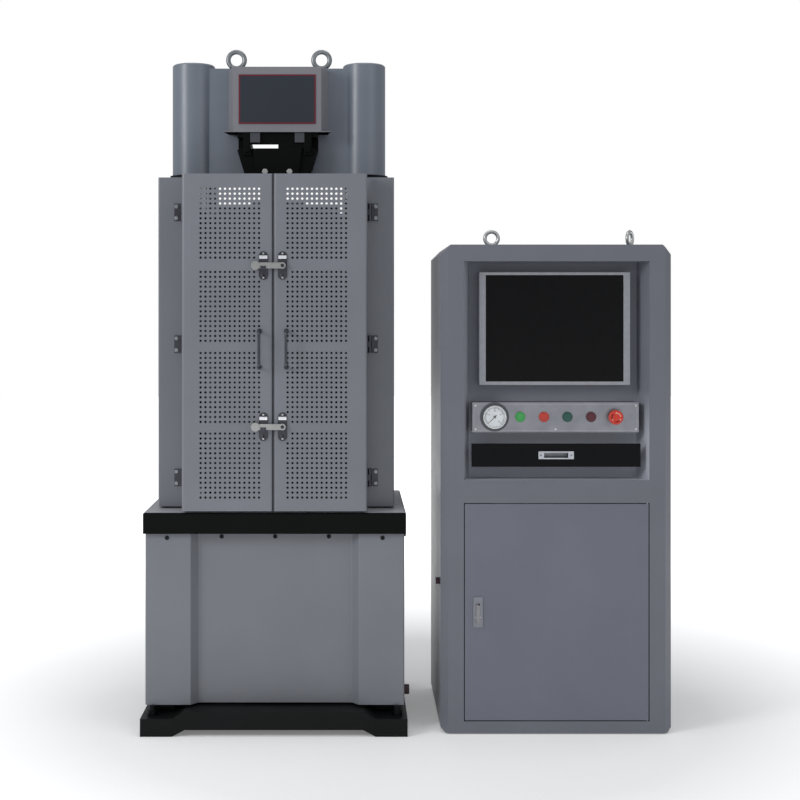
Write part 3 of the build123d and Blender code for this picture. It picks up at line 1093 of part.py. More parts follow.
def save(name, shape, x):
    solids = shape if isinstance(shape, list) else [shape]
    moved = [s for piece in solids for s in (Pos(x, 0, 0) * piece).solids()]
    whole = moved[0] if len(moved) == 1 else Compound(children=moved)
    whole.label = name
    export_step(whole, os.path.join("parts", name + ".step"))


os.makedirs("parts", exist_ok=True)
for name, shape in tower_nodes().items():
    save(name, shape, TOWER_X)
for name, shape in cabinet_nodes().items():
    save(name, shape, CABINET_X)
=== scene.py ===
"""Looks of the hydraulic testing machine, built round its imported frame.

Metres, +Z up, the machine's front towards -Y. The load frame is on the left, its control cabinet on the
right.
"""
import json
import math

import bpy
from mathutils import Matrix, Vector


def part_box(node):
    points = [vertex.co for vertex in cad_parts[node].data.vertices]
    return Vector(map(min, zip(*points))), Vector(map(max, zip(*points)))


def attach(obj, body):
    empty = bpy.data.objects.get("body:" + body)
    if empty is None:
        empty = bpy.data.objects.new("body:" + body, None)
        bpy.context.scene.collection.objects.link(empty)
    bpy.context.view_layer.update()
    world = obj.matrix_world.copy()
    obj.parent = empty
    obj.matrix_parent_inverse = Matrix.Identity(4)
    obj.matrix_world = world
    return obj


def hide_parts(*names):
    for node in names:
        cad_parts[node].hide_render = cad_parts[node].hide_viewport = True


MM = 0.001
STANDING = (math.pi / 2, 0, 0)         # stands what lies flat up on a front face
SAME_POINT = 0.02 * MM                 # points of a CAD mesh nearer than this are one
SAME_EDGE = 0.01 * MM                  # points of neighbouring cells nearer than this are one
FLAT_DEG, SMOOTH_DEG, SHARP_DEG = 0.4, 32, 35     # no edge up to, smoothed up to, rounded from

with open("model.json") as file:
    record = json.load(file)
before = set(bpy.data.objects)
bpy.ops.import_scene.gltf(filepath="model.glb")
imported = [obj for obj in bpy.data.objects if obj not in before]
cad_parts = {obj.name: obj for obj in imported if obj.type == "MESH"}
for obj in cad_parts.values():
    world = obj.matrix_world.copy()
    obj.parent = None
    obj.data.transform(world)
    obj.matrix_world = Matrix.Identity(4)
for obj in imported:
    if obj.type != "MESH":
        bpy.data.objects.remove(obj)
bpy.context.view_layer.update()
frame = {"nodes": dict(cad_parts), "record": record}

# Camera, worked out from the photograph
CAMERA_PLACE = (-0.160, -4.300, 1.187)
CAMERA_SHIFT = (0.0625, -0.10875)      # the photograph's upright lines stay upright
LENS_MM = 64.29
SENSOR_MM = 36.0

# Places of the two units, from the frame's own parts
foot_low, foot_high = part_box("base_frame")
TOWER_X = (foot_low.x + foot_high.x) / 2
cab_low, cab_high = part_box("cabinet_door")
CABINET_X = (cab_low.x + cab_high.x) / 2


# Selecting and editing, as by hand

def only(*objects):
    """Selects these objects alone, the first one active."""
    bpy.ops.object.select_all(action="DESELECT")
    for obj in objects:
        obj.select_set(True)
    bpy.context.view_layer.objects.active = objects[0]


def named(name):
    """Names the active object and its mesh."""
    obj = bpy.context.active_object
    obj.name = name
    obj.data.name = name
    return obj


def edit(obj, mode="FACE"):
    """Enters edit mode on one object."""
    only(obj)
    bpy.ops.object.mode_set(mode="EDIT")
    bpy.ops.mesh.select_mode(type=mode)


def done():
    """Leaves edit mode."""
    bpy.ops.object.mode_set(mode="OBJECT")


def pick_points(obj, test):
    """Selects the points whose place passes the test, and enters edit mode."""
    mesh = obj.data
    for group in (mesh.polygons, mesh.edges, mesh.vertices):
        for item in group:
            item.select = False
    for point in mesh.vertices:
        point.select = test(point.co)
    edit(obj, "VERT")


def pick_faces(obj, test):
    """Selects the faces whose centre and normal pass the test, and enters edit mode."""
    mesh = obj.data
    for group in (mesh.edges, mesh.vertices):
        for item in group:
            item.select = False
    for face in mesh.polygons:
        face.select = test(face.center, face.normal)
    edit(obj, "FACE")


def face_front(obj):
    """Turns every face of a flat upright sheet to the front, the same way in each run."""
    pick_faces(obj, lambda c, n: n.y > 0)
    bpy.ops.mesh.flip_normals()
    done()


def face_outwards(obj):
    """Turns the faces of a new solid outwards."""
    edit(obj)
    bpy.ops.mesh.select_all(action="SELECT")
    bpy.ops.mesh.normals_make_consistent(inside=False)
    done()


def settle(obj):
    """Applies the object's place, turn and scale to its mesh."""
    only(obj)
    bpy.ops.object.transform_apply(location=True, rotation=True, scale=True)
    return obj


def apply_all(obj):
    """Applies the modifiers in their order."""
    only(obj)
    for modifier in list(obj.modifiers):
        bpy.ops.object.modifier_apply(modifier=modifier.name)
    return obj


def smooth(obj):
    """Smooths the shallow edges and leaves the others sharp."""
    only(obj)
    bpy.ops.object.shade_smooth_by_angle(angle=math.radians(SMOOTH_DEG))


def bevelled(obj, width, segments=2):
    """Rounds the sharp edges by a real width and smooths what lies between them."""
    bevel = obj.modifiers.new("edge rounding", "BEVEL")
    bevel.width = width
    bevel.segments = segments
    bevel.limit_method = "ANGLE"
    bevel.angle_limit = math.radians(SHARP_DEG)
    bevel.use_clamp_overlap = True
    bevel.harden_normals = False
    apply_all(obj)
    smooth(obj)
    weights = obj.modifiers.new("flat faces stay flat", "WEIGHTED_NORMAL")
    weights.keep_sharp = True
    weights.weight = 100
    return apply_all(obj)


def joined(name, parts):
    """Joins the parts into the first one, under a new name."""
    only(*parts)
    if len(parts) > 1:
        bpy.ops.object.join()
    return named(name)


def copy_of(obj, name):
    """A copy with its own mesh."""
    twin = obj.copy()
    twin.data = obj.data.copy()
    bpy.context.scene.collection.objects.link(twin)
    twin.name = name
    return twin


def block(name, low, high):
    """A box between two corners."""
    middle = [(a + b) / 2 for a, b in zip(low, high)]
    bpy.ops.mesh.primitive_cube_add(size=1, location=middle, scale=[b - a for a, b in zip(low, high)])
    return settle(named(name))


def disc_y(name, x, z, y0, y1, radius, points=48):
    """A round bar along Y, from its front y0 to its back y1."""
    bpy.ops.mesh.primitive_cylinder_add(vertices=points, radius=radius, depth=abs(y1 - y0),
                                        location=(x, (y0 + y1) / 2, z), rotation=STANDING)
    return settle(named(name))


# Materials

def linear(code):
    """An sRGB hex colour as linear RGBA."""
    channels = [int(code[i:i + 2], 16) / 255 for i in (1, 3, 5)]
    turned = [c / 12.92 if c <= 0.04045 else ((c + 0.055) / 1.055) ** 2.4 for c in channels]
    return (*turned, 1.0)


def grey(value):
    """A plain value as RGBA."""
    return (value, value, value, 1.0)


def per_mm(size):
    """Noise scale that gives grains of this many millimetres."""
    return 1000.0 / size


def add(tree, kind, settings=None, links=None, stops=()):
    """One node with its settings, its socket values, what feeds its sockets, and its colour stops if any."""
    made = tree.nodes.new(kind)
    for key, value in (settings or {}).items():
        if key in made.inputs:
            made.inputs[key].default_value = value
        else:
            setattr(made, key, value)
    for key, source in (links or {}).items():
        tree.links.new(source, made.inputs[key])
    for index, (place, colour) in enumerate(stops):
        stop = made.color_ramp.elements[index]
        stop.position = place
        stop.color = colour
    return made


def fresh(name):
    """A new material with its tree, its shader and the place on the piece."""
    material = bpy.data.materials.new(name)
    material.use_nodes = True
    tree = material.node_tree
    surface = tree.nodes["Principled BSDF"]
    place = add(tree, "ShaderNodeTexCoord").outputs["Object"]
    return material, tree, surface, place


# Real sizes of what changes slowly over a surface, and depths of the fine relief.
# The relief itself is finer on the real pieces: it is drawn as coarse as it needs to show.
DRIFT_MM, SMUDGE_MM, STAIN_MM, CLOUD_MM, SMEAR_MM, FLOOR_CLOUD_MM = 260, 70, 35, 18, 12, 900
SPARK_MM = 0.8
PEEL_DEEP, GRAIN_DEEP, SPARK_DEEP = 0.2 * MM, 0.1 * MM, 0.1 * MM
LACQUER_IOR, GLASS_IOR = 1.5, 1.45
LACQUER_ROUGH = 0.06
LOW_STOP, HIGH_STOP = 0.3, 0.7         # the part of a noise's range that is used


def enamel(name, code, dark_code, peel_mm=2.6, peel=0.12, rough=0.36, sheen=0.5):
    """Sprayed and baked enamel on sheet or castings: fine orange peel, a satin gloss,
    slow drifts of tone, and a little dust that dulls the gloss in patches."""
    material, tree, surface, place = fresh(name)
    drift = add(tree, "ShaderNodeTexNoise", {"Scale": per_mm(DRIFT_MM), "Detail": 4.0, "Roughness": 0.55},
                {"Vector": place})
    tone = add(tree, "ShaderNodeValToRGB", links={"Fac": drift.outputs["Fac"]},
               stops=((LOW_STOP, linear(dark_code)), (HIGH_STOP, linear(code))))
    tree.links.new(tone.outputs["Color"], surface.inputs["Base Color"])
    smudge = add(tree, "ShaderNodeTexNoise", {"Scale": per_mm(SMUDGE_MM), "Detail": 6.0, "Roughness": 0.6},
                 {"Vector": place})
    gloss = add(tree, "ShaderNodeValToRGB", links={"Fac": smudge.outputs["Fac"]},
                stops=((0.35, grey(rough - 0.02)), (HIGH_STOP, grey(rough + 0.025))))
    tree.links.new(gloss.outputs["Color"], surface.inputs["Roughness"])
    skin = add(tree, "ShaderNodeTexNoise", {"Scale": per_mm(peel_mm), "Detail": 2.0}, {"Vector": place})
    bump = add(tree, "ShaderNodeBump", {"Strength": peel, "Distance": PEEL_DEEP},
               {"Height": skin.outputs["Fac"]})
    tree.links.new(bump.outputs["Normal"], surface.inputs["Normal"])
    surface.inputs["IOR"].default_value = LACQUER_IOR
    surface.inputs["Specular IOR Level"].default_value = sheen
    return material


def metal(name, code, dark_code, rough, grain_mm=(0.6, 0.6, 0.6), grain=0.05, spread=0.08):
    """Bare or plated metal: stained a little, with a grain of three sizes along X, Y and Z."""
    material, tree, surface, place = fresh(name)
    stretch = add(tree, "ShaderNodeMapping", {"Scale": tuple(per_mm(size) for size in grain_mm)},
                  {"Vector": place})
    line = add(tree, "ShaderNodeTexNoise", {"Scale": 1.0, "Detail": 3.0, "Roughness": 0.6},
               {"Vector": stretch.outputs["Vector"]})
    stain = add(tree, "ShaderNodeTexNoise", {"Scale": per_mm(STAIN_MM), "Detail": 4.0}, {"Vector": place})
    tone = add(tree, "ShaderNodeValToRGB", links={"Fac": stain.outputs["Fac"]},
               stops=((LOW_STOP, linear(dark_code)), (HIGH_STOP, linear(code))))
    tree.links.new(tone.outputs["Color"], surface.inputs["Base Color"])
    gloss = add(tree, "ShaderNodeValToRGB", links={"Fac": line.outputs["Fac"]},
                stops=((LOW_STOP, grey(rough - spread / 2)), (HIGH_STOP, grey(rough + spread))))
    tree.links.new(gloss.outputs["Color"], surface.inputs["Roughness"])
    bump = add(tree, "ShaderNodeBump", {"Strength": grain, "Distance": GRAIN_DEEP},
               {"Height": line.outputs["Fac"]})
    tree.links.new(bump.outputs["Normal"], surface.inputs["Normal"])
    surface.inputs["Metallic"].default_value = 1.0
    return material


def plastic(name, code, rough=0.3, grain=0.04, coat=0.0, sheen=0.5):
    """Moulded plastic, rubber or print with a faint spark-eroded texture."""
    material, tree, surface, place = fresh(name)
    skin = add(tree, "ShaderNodeTexNoise", {"Scale": per_mm(SPARK_MM), "Detail": 2.0}, {"Vector": place})
    cloud = add(tree, "ShaderNodeTexNoise", {"Scale": per_mm(CLOUD_MM), "Detail": 3.0}, {"Vector": place})
    base = linear(code)
    deep = tuple(c * 0.86 for c in base[:3]) + (1.0,)
    tone = add(tree, "ShaderNodeValToRGB", links={"Fac": cloud.outputs["Fac"]},
               stops=((LOW_STOP, deep), (HIGH_STOP, base)))
    tree.links.new(tone.outputs["Color"], surface.inputs["Base Color"])
    gloss = add(tree, "ShaderNodeValToRGB", links={"Fac": cloud.outputs["Fac"]},
                stops=((LOW_STOP, grey(rough)), (HIGH_STOP, grey(rough + 0.06))))
    tree.links.new(gloss.outputs["Color"], surface.inputs["Roughness"])
    bump = add(tree, "ShaderNodeBump", {"Strength": grain, "Distance": SPARK_DEEP},
               {"Height": skin.outputs["Fac"]})
    tree.links.new(bump.outputs["Normal"], surface.inputs["Normal"])
    surface.inputs["IOR"].default_value = LACQUER_IOR
    surface.inputs["Specular IOR Level"].default_value = sheen
    surface.inputs["Coat Weight"].default_value = coat
    surface.inputs["Coat Roughness"].default_value = LACQUER_ROUGH
    return material


def clear_glass(name):
    """Thin instrument glass: clear, with a hard reflection and a few smears."""
    material, tree, surface, place = fresh(name)
    smear = add(tree, "ShaderNodeTexNoise", {"Scale": per_mm(SMEAR_MM), "Detail": 3.0}, {"Vector": place})
    gloss = add(tree, "ShaderNodeValToRGB", links={"Fac": smear.outputs["Fac"]},
                stops=((0.4, grey(0.01)), (HIGH_STOP, grey(0.05))))
    tree.links.new(gloss.outputs["Color"], surface.inputs["Roughness"])
    surface.inputs["Base Color"].default_value = linear("#ffffff")
    surface.inputs["Transmission Weight"].default_value = 1.0
    surface.inputs["IOR"].default_value = GLASS_IOR
    return material


# Enamel on the load frame
# Folded guard doors: an even satin grey that lets the rows of holes stand out
guard_enamel = enamel("baked grey enamel on folded sheet", "#7b7e86", "#75787f")
# Fixed panels: the doors' coat painted a shade darker, painted shade so that the doors stand forward
shaded_panel_enamel = enamel("painted shade on the fixed panels' grey enamel", "#75787f", "#6f7279")
# Housing covers: wide quiet faces with a little less peel
housing_enamel = enamel("grey enamel on the housing covers", "#7b7e85", "#75787f", peel=0.1)
# Castings: bluer, with the coarse peel of a thick coat over cast iron
casting_enamel = enamel("blue-grey enamel on castings", "#727984", "#6a717c",
                        peel_mm=5.0, peel=0.3, rough=0.34)
# Inner castings and the rear panel's inner faces: deep black, painted shade that keeps the inside of the
# guard dark
inner_shade_black = enamel("black painted shade inside the guard", "#121315", "#0d0e0f",
                      peel_mm=5.0, peel=0.3, sheen=0.2)
# Name box: warmer and smoother than the casting behind it
box_enamel = enamel("warm grey enamel on the name box", "#7e7e84", "#78787e", rough=0.4)
# Thick plate and grip: a dense black with hardly a highlight
black_enamel = enamel("black enamel on thick plate", "#080909", "#060707",
                      peel_mm=3.5, peel=0.2, rough=0.42, sheen=0.08)
# Top of the plate: its upward faces in pale grey, a ledge that closes the black edge upwards
plate_face = enamel("pale grey on the plate's upward faces", "#a9aab0", "#a2a3a9", rough=0.5, sheen=0.3)
# Foot: the plate's black painted a little lighter, painted light from the pale floor
foot_black_floor_lit = enamel("black enamel on the foot", "#131415", "#0f1010",
                    peel_mm=3.5, peel=0.2, rough=0.42, sheen=0.15)
# Links in the crosshead's pocket: grey painted dark, painted shade for their place half lost in the pocket
painted_shade_grey = enamel("painted shade on the links in the crosshead's pocket", "#4b4e54", "#43464c",
                      peel_mm=5.0, peel=0.3, sheen=0.3)
# Name plate: a smooth slate field
slate = enamel("slate enamel on the plate", "#363a42", "#32363e", rough=0.36, peel=0.04, sheen=0.15)
# Line round the name plate: a thin crimson edge
dark_red = enamel("crimson line on the plate", "#6f2a37", "#642431", rough=0.4, peel=0.04, sheen=0.15)

# Enamel on the control cabinet
# Shell: blue-grey and flatter than the frame's coat
cabinet_enamel = enamel("blue-grey enamel on the cabinet", "#6e717a", "#686b74", peel_mm=2.2, rough=0.4)
# Door: slightly bluer than the shell round it
door_enamel = enamel("grey enamel on the cabinet door", "#6f727e", "#696c78", peel_mm=2.2, rough=0.42)
# Recess: dull, so that the tub reads as a soft hollow; its grey is painted paler than the shell's, painted
# light against the hollow's shade
recess_enamel_lit = enamel("grey enamel in the recess, painted lighter", "#7a7d87", "#747781", peel_mm=2.2, rough=0.45)
# Left wall of the recess: painted paler, painted light so that it doesn't sink into shadow
recess_side_lit = enamel("painted light on the recess's left wall", "#a3a6b0", "#9da0aa",
                     peel_mm=2.2, rough=0.45)
# Gauge flange: a dark ring round the dial
flange_grey = enamel("dark grey enamel on the gauge flange", "#4c4f55", "#44474d", rough=0.4, peel=0.06)
# Dial: a cool white disc
dial_white = enamel("white dial enamel", "#e8eef3", "#e0e6eb", rough=0.4, peel=0.02)
# Scale and figures: plain black print
dial_black = enamel("black dial print", "#15171a", "#15171a", rough=0.5, peel=0.02)

# Metals
# Button bezels and pull screws: grey metal with broad soft highlights; in the pull's pocket the same darker
# metal is painted shade
collar_metal_and_pocket_shade = metal("satin plated collar, and painted shade in the pull's pocket", "#7f8286", "#6f7276", 0.36, (3, 3, 3), 0.02)
# Housing screws, studs, pivot heads: near black and dull; on the keyhole the same black is painted shade
black_oxide_and_keyhole_shade = metal("black oxide steel, and painted shade in the keyhole", "#28292c", "#1b1c1e", 0.5, grain=0.06)
# Hinges and latch plates: dark, so that their screws stand out; on the latch plates the dark is a painted
# reflection of dark surroundings in plated metal
hinge_steel_and_dark_reflection = metal("dark hinge steel", "#4e4e55", "#424248", 0.42, grain=0.06)
# Bow handles: dark rods with a thin highlight
handle_steel = metal("dark polished handle steel", "#54575c", "#484b50", 0.3, (3, 3, 12), 0.01, 0.04)
# Plate and grip screws, cabinet eyebolts: pale and bright
zinc = metal("bright zinc plate", "#c6c8c8", "#b6b9b8", 0.36, (3, 3, 3), 0.02, 0.04)
# Crosshead eyebolts, hinge screws: a dull mottled grey
galvanised = metal("dull galvanised steel", "#8f9396", "#7d8185", 0.42, (4, 4, 4), 0.03)
# Latch arms: smooth and pale along their length
stainless = metal("polished stainless steel", "#a9aba9", "#9c9e9c", 0.38, (14, 3, 3), 0.01, 0.04)
# Columns, piston and gauge ring: the clearest reflections on the machine
chrome = metal("hard chrome rod", "#d9dadb", "#cfd0d2", 0.2, (3, 3, 12), 0.008, 0.03)
# Lower grip: a cool grey with fine grinding lines
ground_steel = metal("ground tool steel", "#8e9092", "#7c7e81", 0.32, (8, 0.4, 8), 0.1)
# Platens and lead screws: fine tool marks
turned_steel = metal("turned steel", "#a3a5a7", "#8f9194", 0.3, (0.5, 0.5, 9), 0.1)
# Screw nuts: warm yellow among black castings
bronze = metal("machined bronze", "#b98d4e", "#a37a42", 0.32, (6, 6, 0.4), 0.08)
# Control plate: long fine lines from side to side
brushed = metal("brushed anodised aluminium", "#8f9096", "#82838a", 0.4, (40, 0.35, 0.35), 0.16, 0.14)
# Drawer pull: a pale satin frame on the black drawer
pull_metal = metal("satin aluminium pull", "#bdc0c6", "#b0b3b9", 0.36, (20, 3, 3), 0.02)
# Latch ledges: near-white bars, painted glints above the arms
ledge_painted_glint = metal("near-white ledge with a painted glint", "#eceef2", "#e2e4e8", 0.4, (3, 3, 3), 0.01, 0.03)
# Lock face: dull, close to the door's own tone
lock_metal = metal("satin die-cast lock face", "#8b8c94", "#7f8088", 0.45, (3, 3, 3), 0.06)
# Lock lever: a little warmer than its face
lever_metal = metal("satin die-cast lever", "#8c8c8e", "#808082", 0.4, (3, 3, 3), 0.06)
# Side and rear fittings: a dark reddish spot on each unit
port_bronze = metal("dark red-bronze fitting", "#4a3c40", "#3c3033", 0.4, (3, 3, 3), 0.04)

# Plastics, rubber, print and glass
# Monitor bezel: silver paint, even and soft
silver_plastic = plastic("silver painted plastic bezel", "#9b9ea4", 0.36)
# Drawer front: a smooth black with a faint shine
black_gloss = plastic("black enamelled drawer front", "#0a0b0f", 0.34, sheen=0.1)
# Keyboard deck and needle: plain black
black_plastic = plastic("black moulded plastic", "#1b1b1d", 0.5, sheen=0.3)
# Keys: charcoal, so that each one can be told from the deck
key_plastic = plastic("charcoal key caps", "#2a2b2e", 0.55, sheen=0.3)
# Screen: near black with a soft reflection
screen_glass = plastic("dark anti-glare screen", "#08080a", 0.28, grain=0.0, sheen=0.14)
# Button caps: clear colours under a thin gloss
green_cap = plastic("bright green button cap", "#3fa552", 0.2, coat=0.3)
red_cap = plastic("red button cap", "#c43c2e", 0.2, coat=0.3)
dark_green_cap = plastic("dark green button cap", "#1c5249", 0.2, coat=0.3)
dark_red_cap = plastic("dark red button cap", "#561729", 0.2, coat=0.3)
# Stop button: the strongest colour on the machine
stop_red = plastic("orange-red stop button", "#cf3420", 0.3, coat=0.15)
# Border of the control plate: a line a little paler than the metal
pale_line = plastic("pale printed line", "#b9b6bb", 0.5)
# Arrows on the stop button: pale print
arrow_print = plastic("pale print on the stop button", "#f0b0a0", 0.4)
# Wiper rings: dark dull rubber, whose black also paints the shade under the bosses
gasket_and_boss_shade = plastic("dark grey rubber seal, and painted shade under the bosses", "#24262a", 0.75, sheen=0.1)
# Strip between the doors: grey rubber that darkens the gap
seal_grey = plastic("grey rubber seal between the doors", "#45484d", 0.7, sheen=0.2)
# Floor of the name box: black without gloss
flat_black = plastic("flat black paint on the box floor", "#0c0c0d", 0.9, sheen=0.0)
gauge_glass = clear_glass("gauge glass")

RECESS_PAINTED_LIGHT, FADE_LOW_Z, FADE_HIGH_Z = "#b4b7c2", 0.84, 0.97


def painted_light_below(material, code, low, high):
    """Painted light: fades the enamel to a paler tone below a height, as if the recess there were lit as
    fully as the front.
    """
    tree = material.node_tree
    surface = tree.nodes["Principled BSDF"]
    colour = surface.inputs["Base Color"].links[0].from_socket
    place = add(tree, "ShaderNodeTexCoord").outputs["Object"]
    height = add(tree, "ShaderNodeSeparateXYZ", links={0: place})
    fade = add(tree, "ShaderNodeMapRange", {"From Min": high, "From Max": low},
               {"Value": height.outputs["Z"]})
    mixed = add(tree, "ShaderNodeMix", {"data_type": "RGBA", "B": linear(code)},
                {"Factor": fade.outputs[0], "A": colour})
    tree.links.new(mixed.outputs["Result"], surface.inputs["Base Color"])


def paint(obj, material):
    """One material all over."""
    obj.data.materials.clear()
    obj.data.materials.append(material)
    for face in obj.data.polygons:
        face.material_index = 0
    return obj


def accent(obj, material, test):
    """A second material on the faces whose centre and normal pass the test."""
    obj.data.materials.append(material)
    index = len(obj.data.materials) - 1
    for face in obj.data.polygons:
        if test(face.center, face.normal):
            face.material_index = index


def keep(obj, body, slot, material, *replaced):
    """Finishes a new piece: its material, its body and the nodes it stands for. The slot is not used."""
    paint(obj, material)
    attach(obj, body)
    if replaced:
        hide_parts(*replaced)
    return obj


SLOT_OF = {row["node"]: row["material_slot"] for row in frame["record"]["subparts"]}
BODY_OF = {node: body for body, nodes in frame["record"]["behaviour"]["bodies"].items() for node in nodes}


def keep_with(node, obj, material):
    """Finishes a new piece that belongs to a node: it takes the node's body."""
    return keep(obj, BODY_OF[node], SLOT_OF[node], material)


def merged_copy(node, name):
    """The CAD node's shape as one clean mesh, its flat areas free of inner edges."""
    obj = copy_of(frame["nodes"][node], name)
    obj.parent = None
    edit(obj)
    bpy.ops.mesh.select_all(action="SELECT")
    bpy.ops.mesh.remove_doubles(threshold=SAME_POINT)
    bpy.ops.mesh.dissolve_limited(angle_limit=math.radians(FLAT_DEG))
    done()
    return obj


def dressed(node, material, width_mm):
    """A copy of a CAD node with its edges rounded as on the real piece, in place of the node."""
    obj = merged_copy(node, node + "_finished")
    bevelled(obj, width_mm * MM)
    return keep(obj, BODY_OF[node], SLOT_OF[node], material, node)


# Perforated guard doors

HOLE_R = 3.5 * MM
HOLE_REACH = HOLE_R * 1.2              # takes in the rim of one hole and no more
CORNER_NEAR = HOLE_REACH / 9
OUTER_RING = 8                         # points round each hole
PITCH_X, PITCH_Z = 13.75 * MM, 13.9 * MM
COLUMNS = 13
SHEET = 2 * MM
DOOR_ROUND = 0.6 * MM
LEFT_FIRST_COLUMN = TOWER_X - 208.5 * MM
RIGHT_FIRST_COLUMN = TOWER_X + 37.3 * MM
# Height of the highest row and number of rows, from the top grid down
GRIDS = ((1.538, 15), (1.303, 15), (1.074, 15), (0.8464, 14))


def hole_cell(name, x, y, z):
    """One square of sheet with a round hole through it, seen from the front."""
    bpy.ops.mesh.primitive_circle_add(vertices=OUTER_RING, radius=HOLE_R, fill_type="NOTHING",
                                      location=(0, 0, 0), rotation=STANDING)
    cell = settle(named(name))
    edit(cell, "EDGE")
    bpy.ops.mesh.select_all(action="SELECT")
    bpy.ops.mesh.extrude_edges_move()
    half = (PITCH_X / 2 / HOLE_R, 1, PITCH_Z / 2 / HOLE_R)
    bpy.ops.transform.resize(value=half, center_override=(0, 0, 0))
    done()
    corner_x, corner_z = math.sqrt(0.5) * PITCH_X / 2, math.sqrt(0.5) * PITCH_Z / 2
    pick_points(cell, lambda p: abs(abs(p.x) - corner_x) < CORNER_NEAR
                and abs(abs(p.z) - corner_z) < CORNER_NEAR)
    bpy.ops.transform.resize(value=(math.sqrt(2), 1, math.sqrt(2)), center_override=(0, 0, 0))
    done()
    cell.location = (x, y, z)
    return settle(cell)


def repeat(obj, count, step):
    """A row of copies, joined where they touch."""
    array = obj.modifiers.new("repeat", "ARRAY")
    array.count = count
    array.use_relative_offset = False
    array.use_constant_offset = True
    array.constant_offset_displace = step
    array.use_merge_vertices = True
    array.merge_threshold = SAME_EDGE
    return apply_all(obj)


def perforated_block(name, x, y, top, rows, plain):
    """A block of rows and columns of holes; plain lists the (column, row) places left unpierced."""
    sheet = hole_cell(name, x, y, top)
    sheet = repeat(sheet, COLUMNS, (PITCH_X, 0, 0))
    sheet = repeat(sheet, rows, (0, 0, -PITCH_Z))
    for column, row in plain:
        cx, cz = x + column * PITCH_X, top - row * PITCH_Z
        pick_points(sheet, lambda p: math.hypot(p.x - cx, p.z - cz) < HOLE_REACH)
        bpy.ops.mesh.edge_face_add()
        done()
    face_front(sheet)
    solid = sheet.modifiers.new("sheet", "SOLIDIFY")
    solid.thickness = SHEET
    solid.offset = -1.0                # backwards, behind the front face
    return apply_all(sheet)


def guard_door(node, x_first, plain_by_grid):
    """A folded door with a window cut for each grid and a perforated block set in it."""
    door = merged_copy(node, node + "_perforated")
    bevelled(door, DOOR_ROUND, 1)
    y_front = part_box(node)[0].y
    x0, x1 = x_first - PITCH_X / 2, x_first + (COLUMNS - 0.5) * PITCH_X
    blocks = []
    for index, (top, rows) in enumerate(GRIDS):
        z0, z1 = top - (rows - 0.5) * PITCH_Z, top + PITCH_Z / 2
        cutter = block("window", (x0, y_front - SHEET, z0), (x1, y_front + 3 * SHEET, z1))
        cut = door.modifiers.new("window", "BOOLEAN")
        cut.operation = "DIFFERENCE"
        cut.solver = "EXACT"
        cut.object = cutter
        apply_all(door)
        bpy.data.objects.remove(cutter)
        blocks.append(perforated_block(f"{node}_grid_{index}", x_first, y_front, top, rows,
                                       plain_by_grid[index]))
    return joined(node + "_perforated", [door] + blocks)


# Unpierced (column, row) places beside the fittings, for each grid; the right door mirrors the left one
left_plain = [[(12, 13), (12, 14)], [(12, 0), (12, 1)], [(12, 13), (12, 14)], [(12, 0), (12, 1)]]
right_plain = [[(COLUMNS - 1 - column, row) for column, row in places] for places in left_plain]
keep(guard_door("left_door", LEFT_FIRST_COLUMN, left_plain), "left_guard_door", "grey_enamel",
     guard_enamel, "left_door")
keep(guard_door("right_door", RIGHT_FIRST_COLUMN, right_plain), "right_guard_door", "grey_enamel",
     guard_enamel, "right_door")


# Pieces taken from the frame, each with its material and the rounding of its edges in millimetres

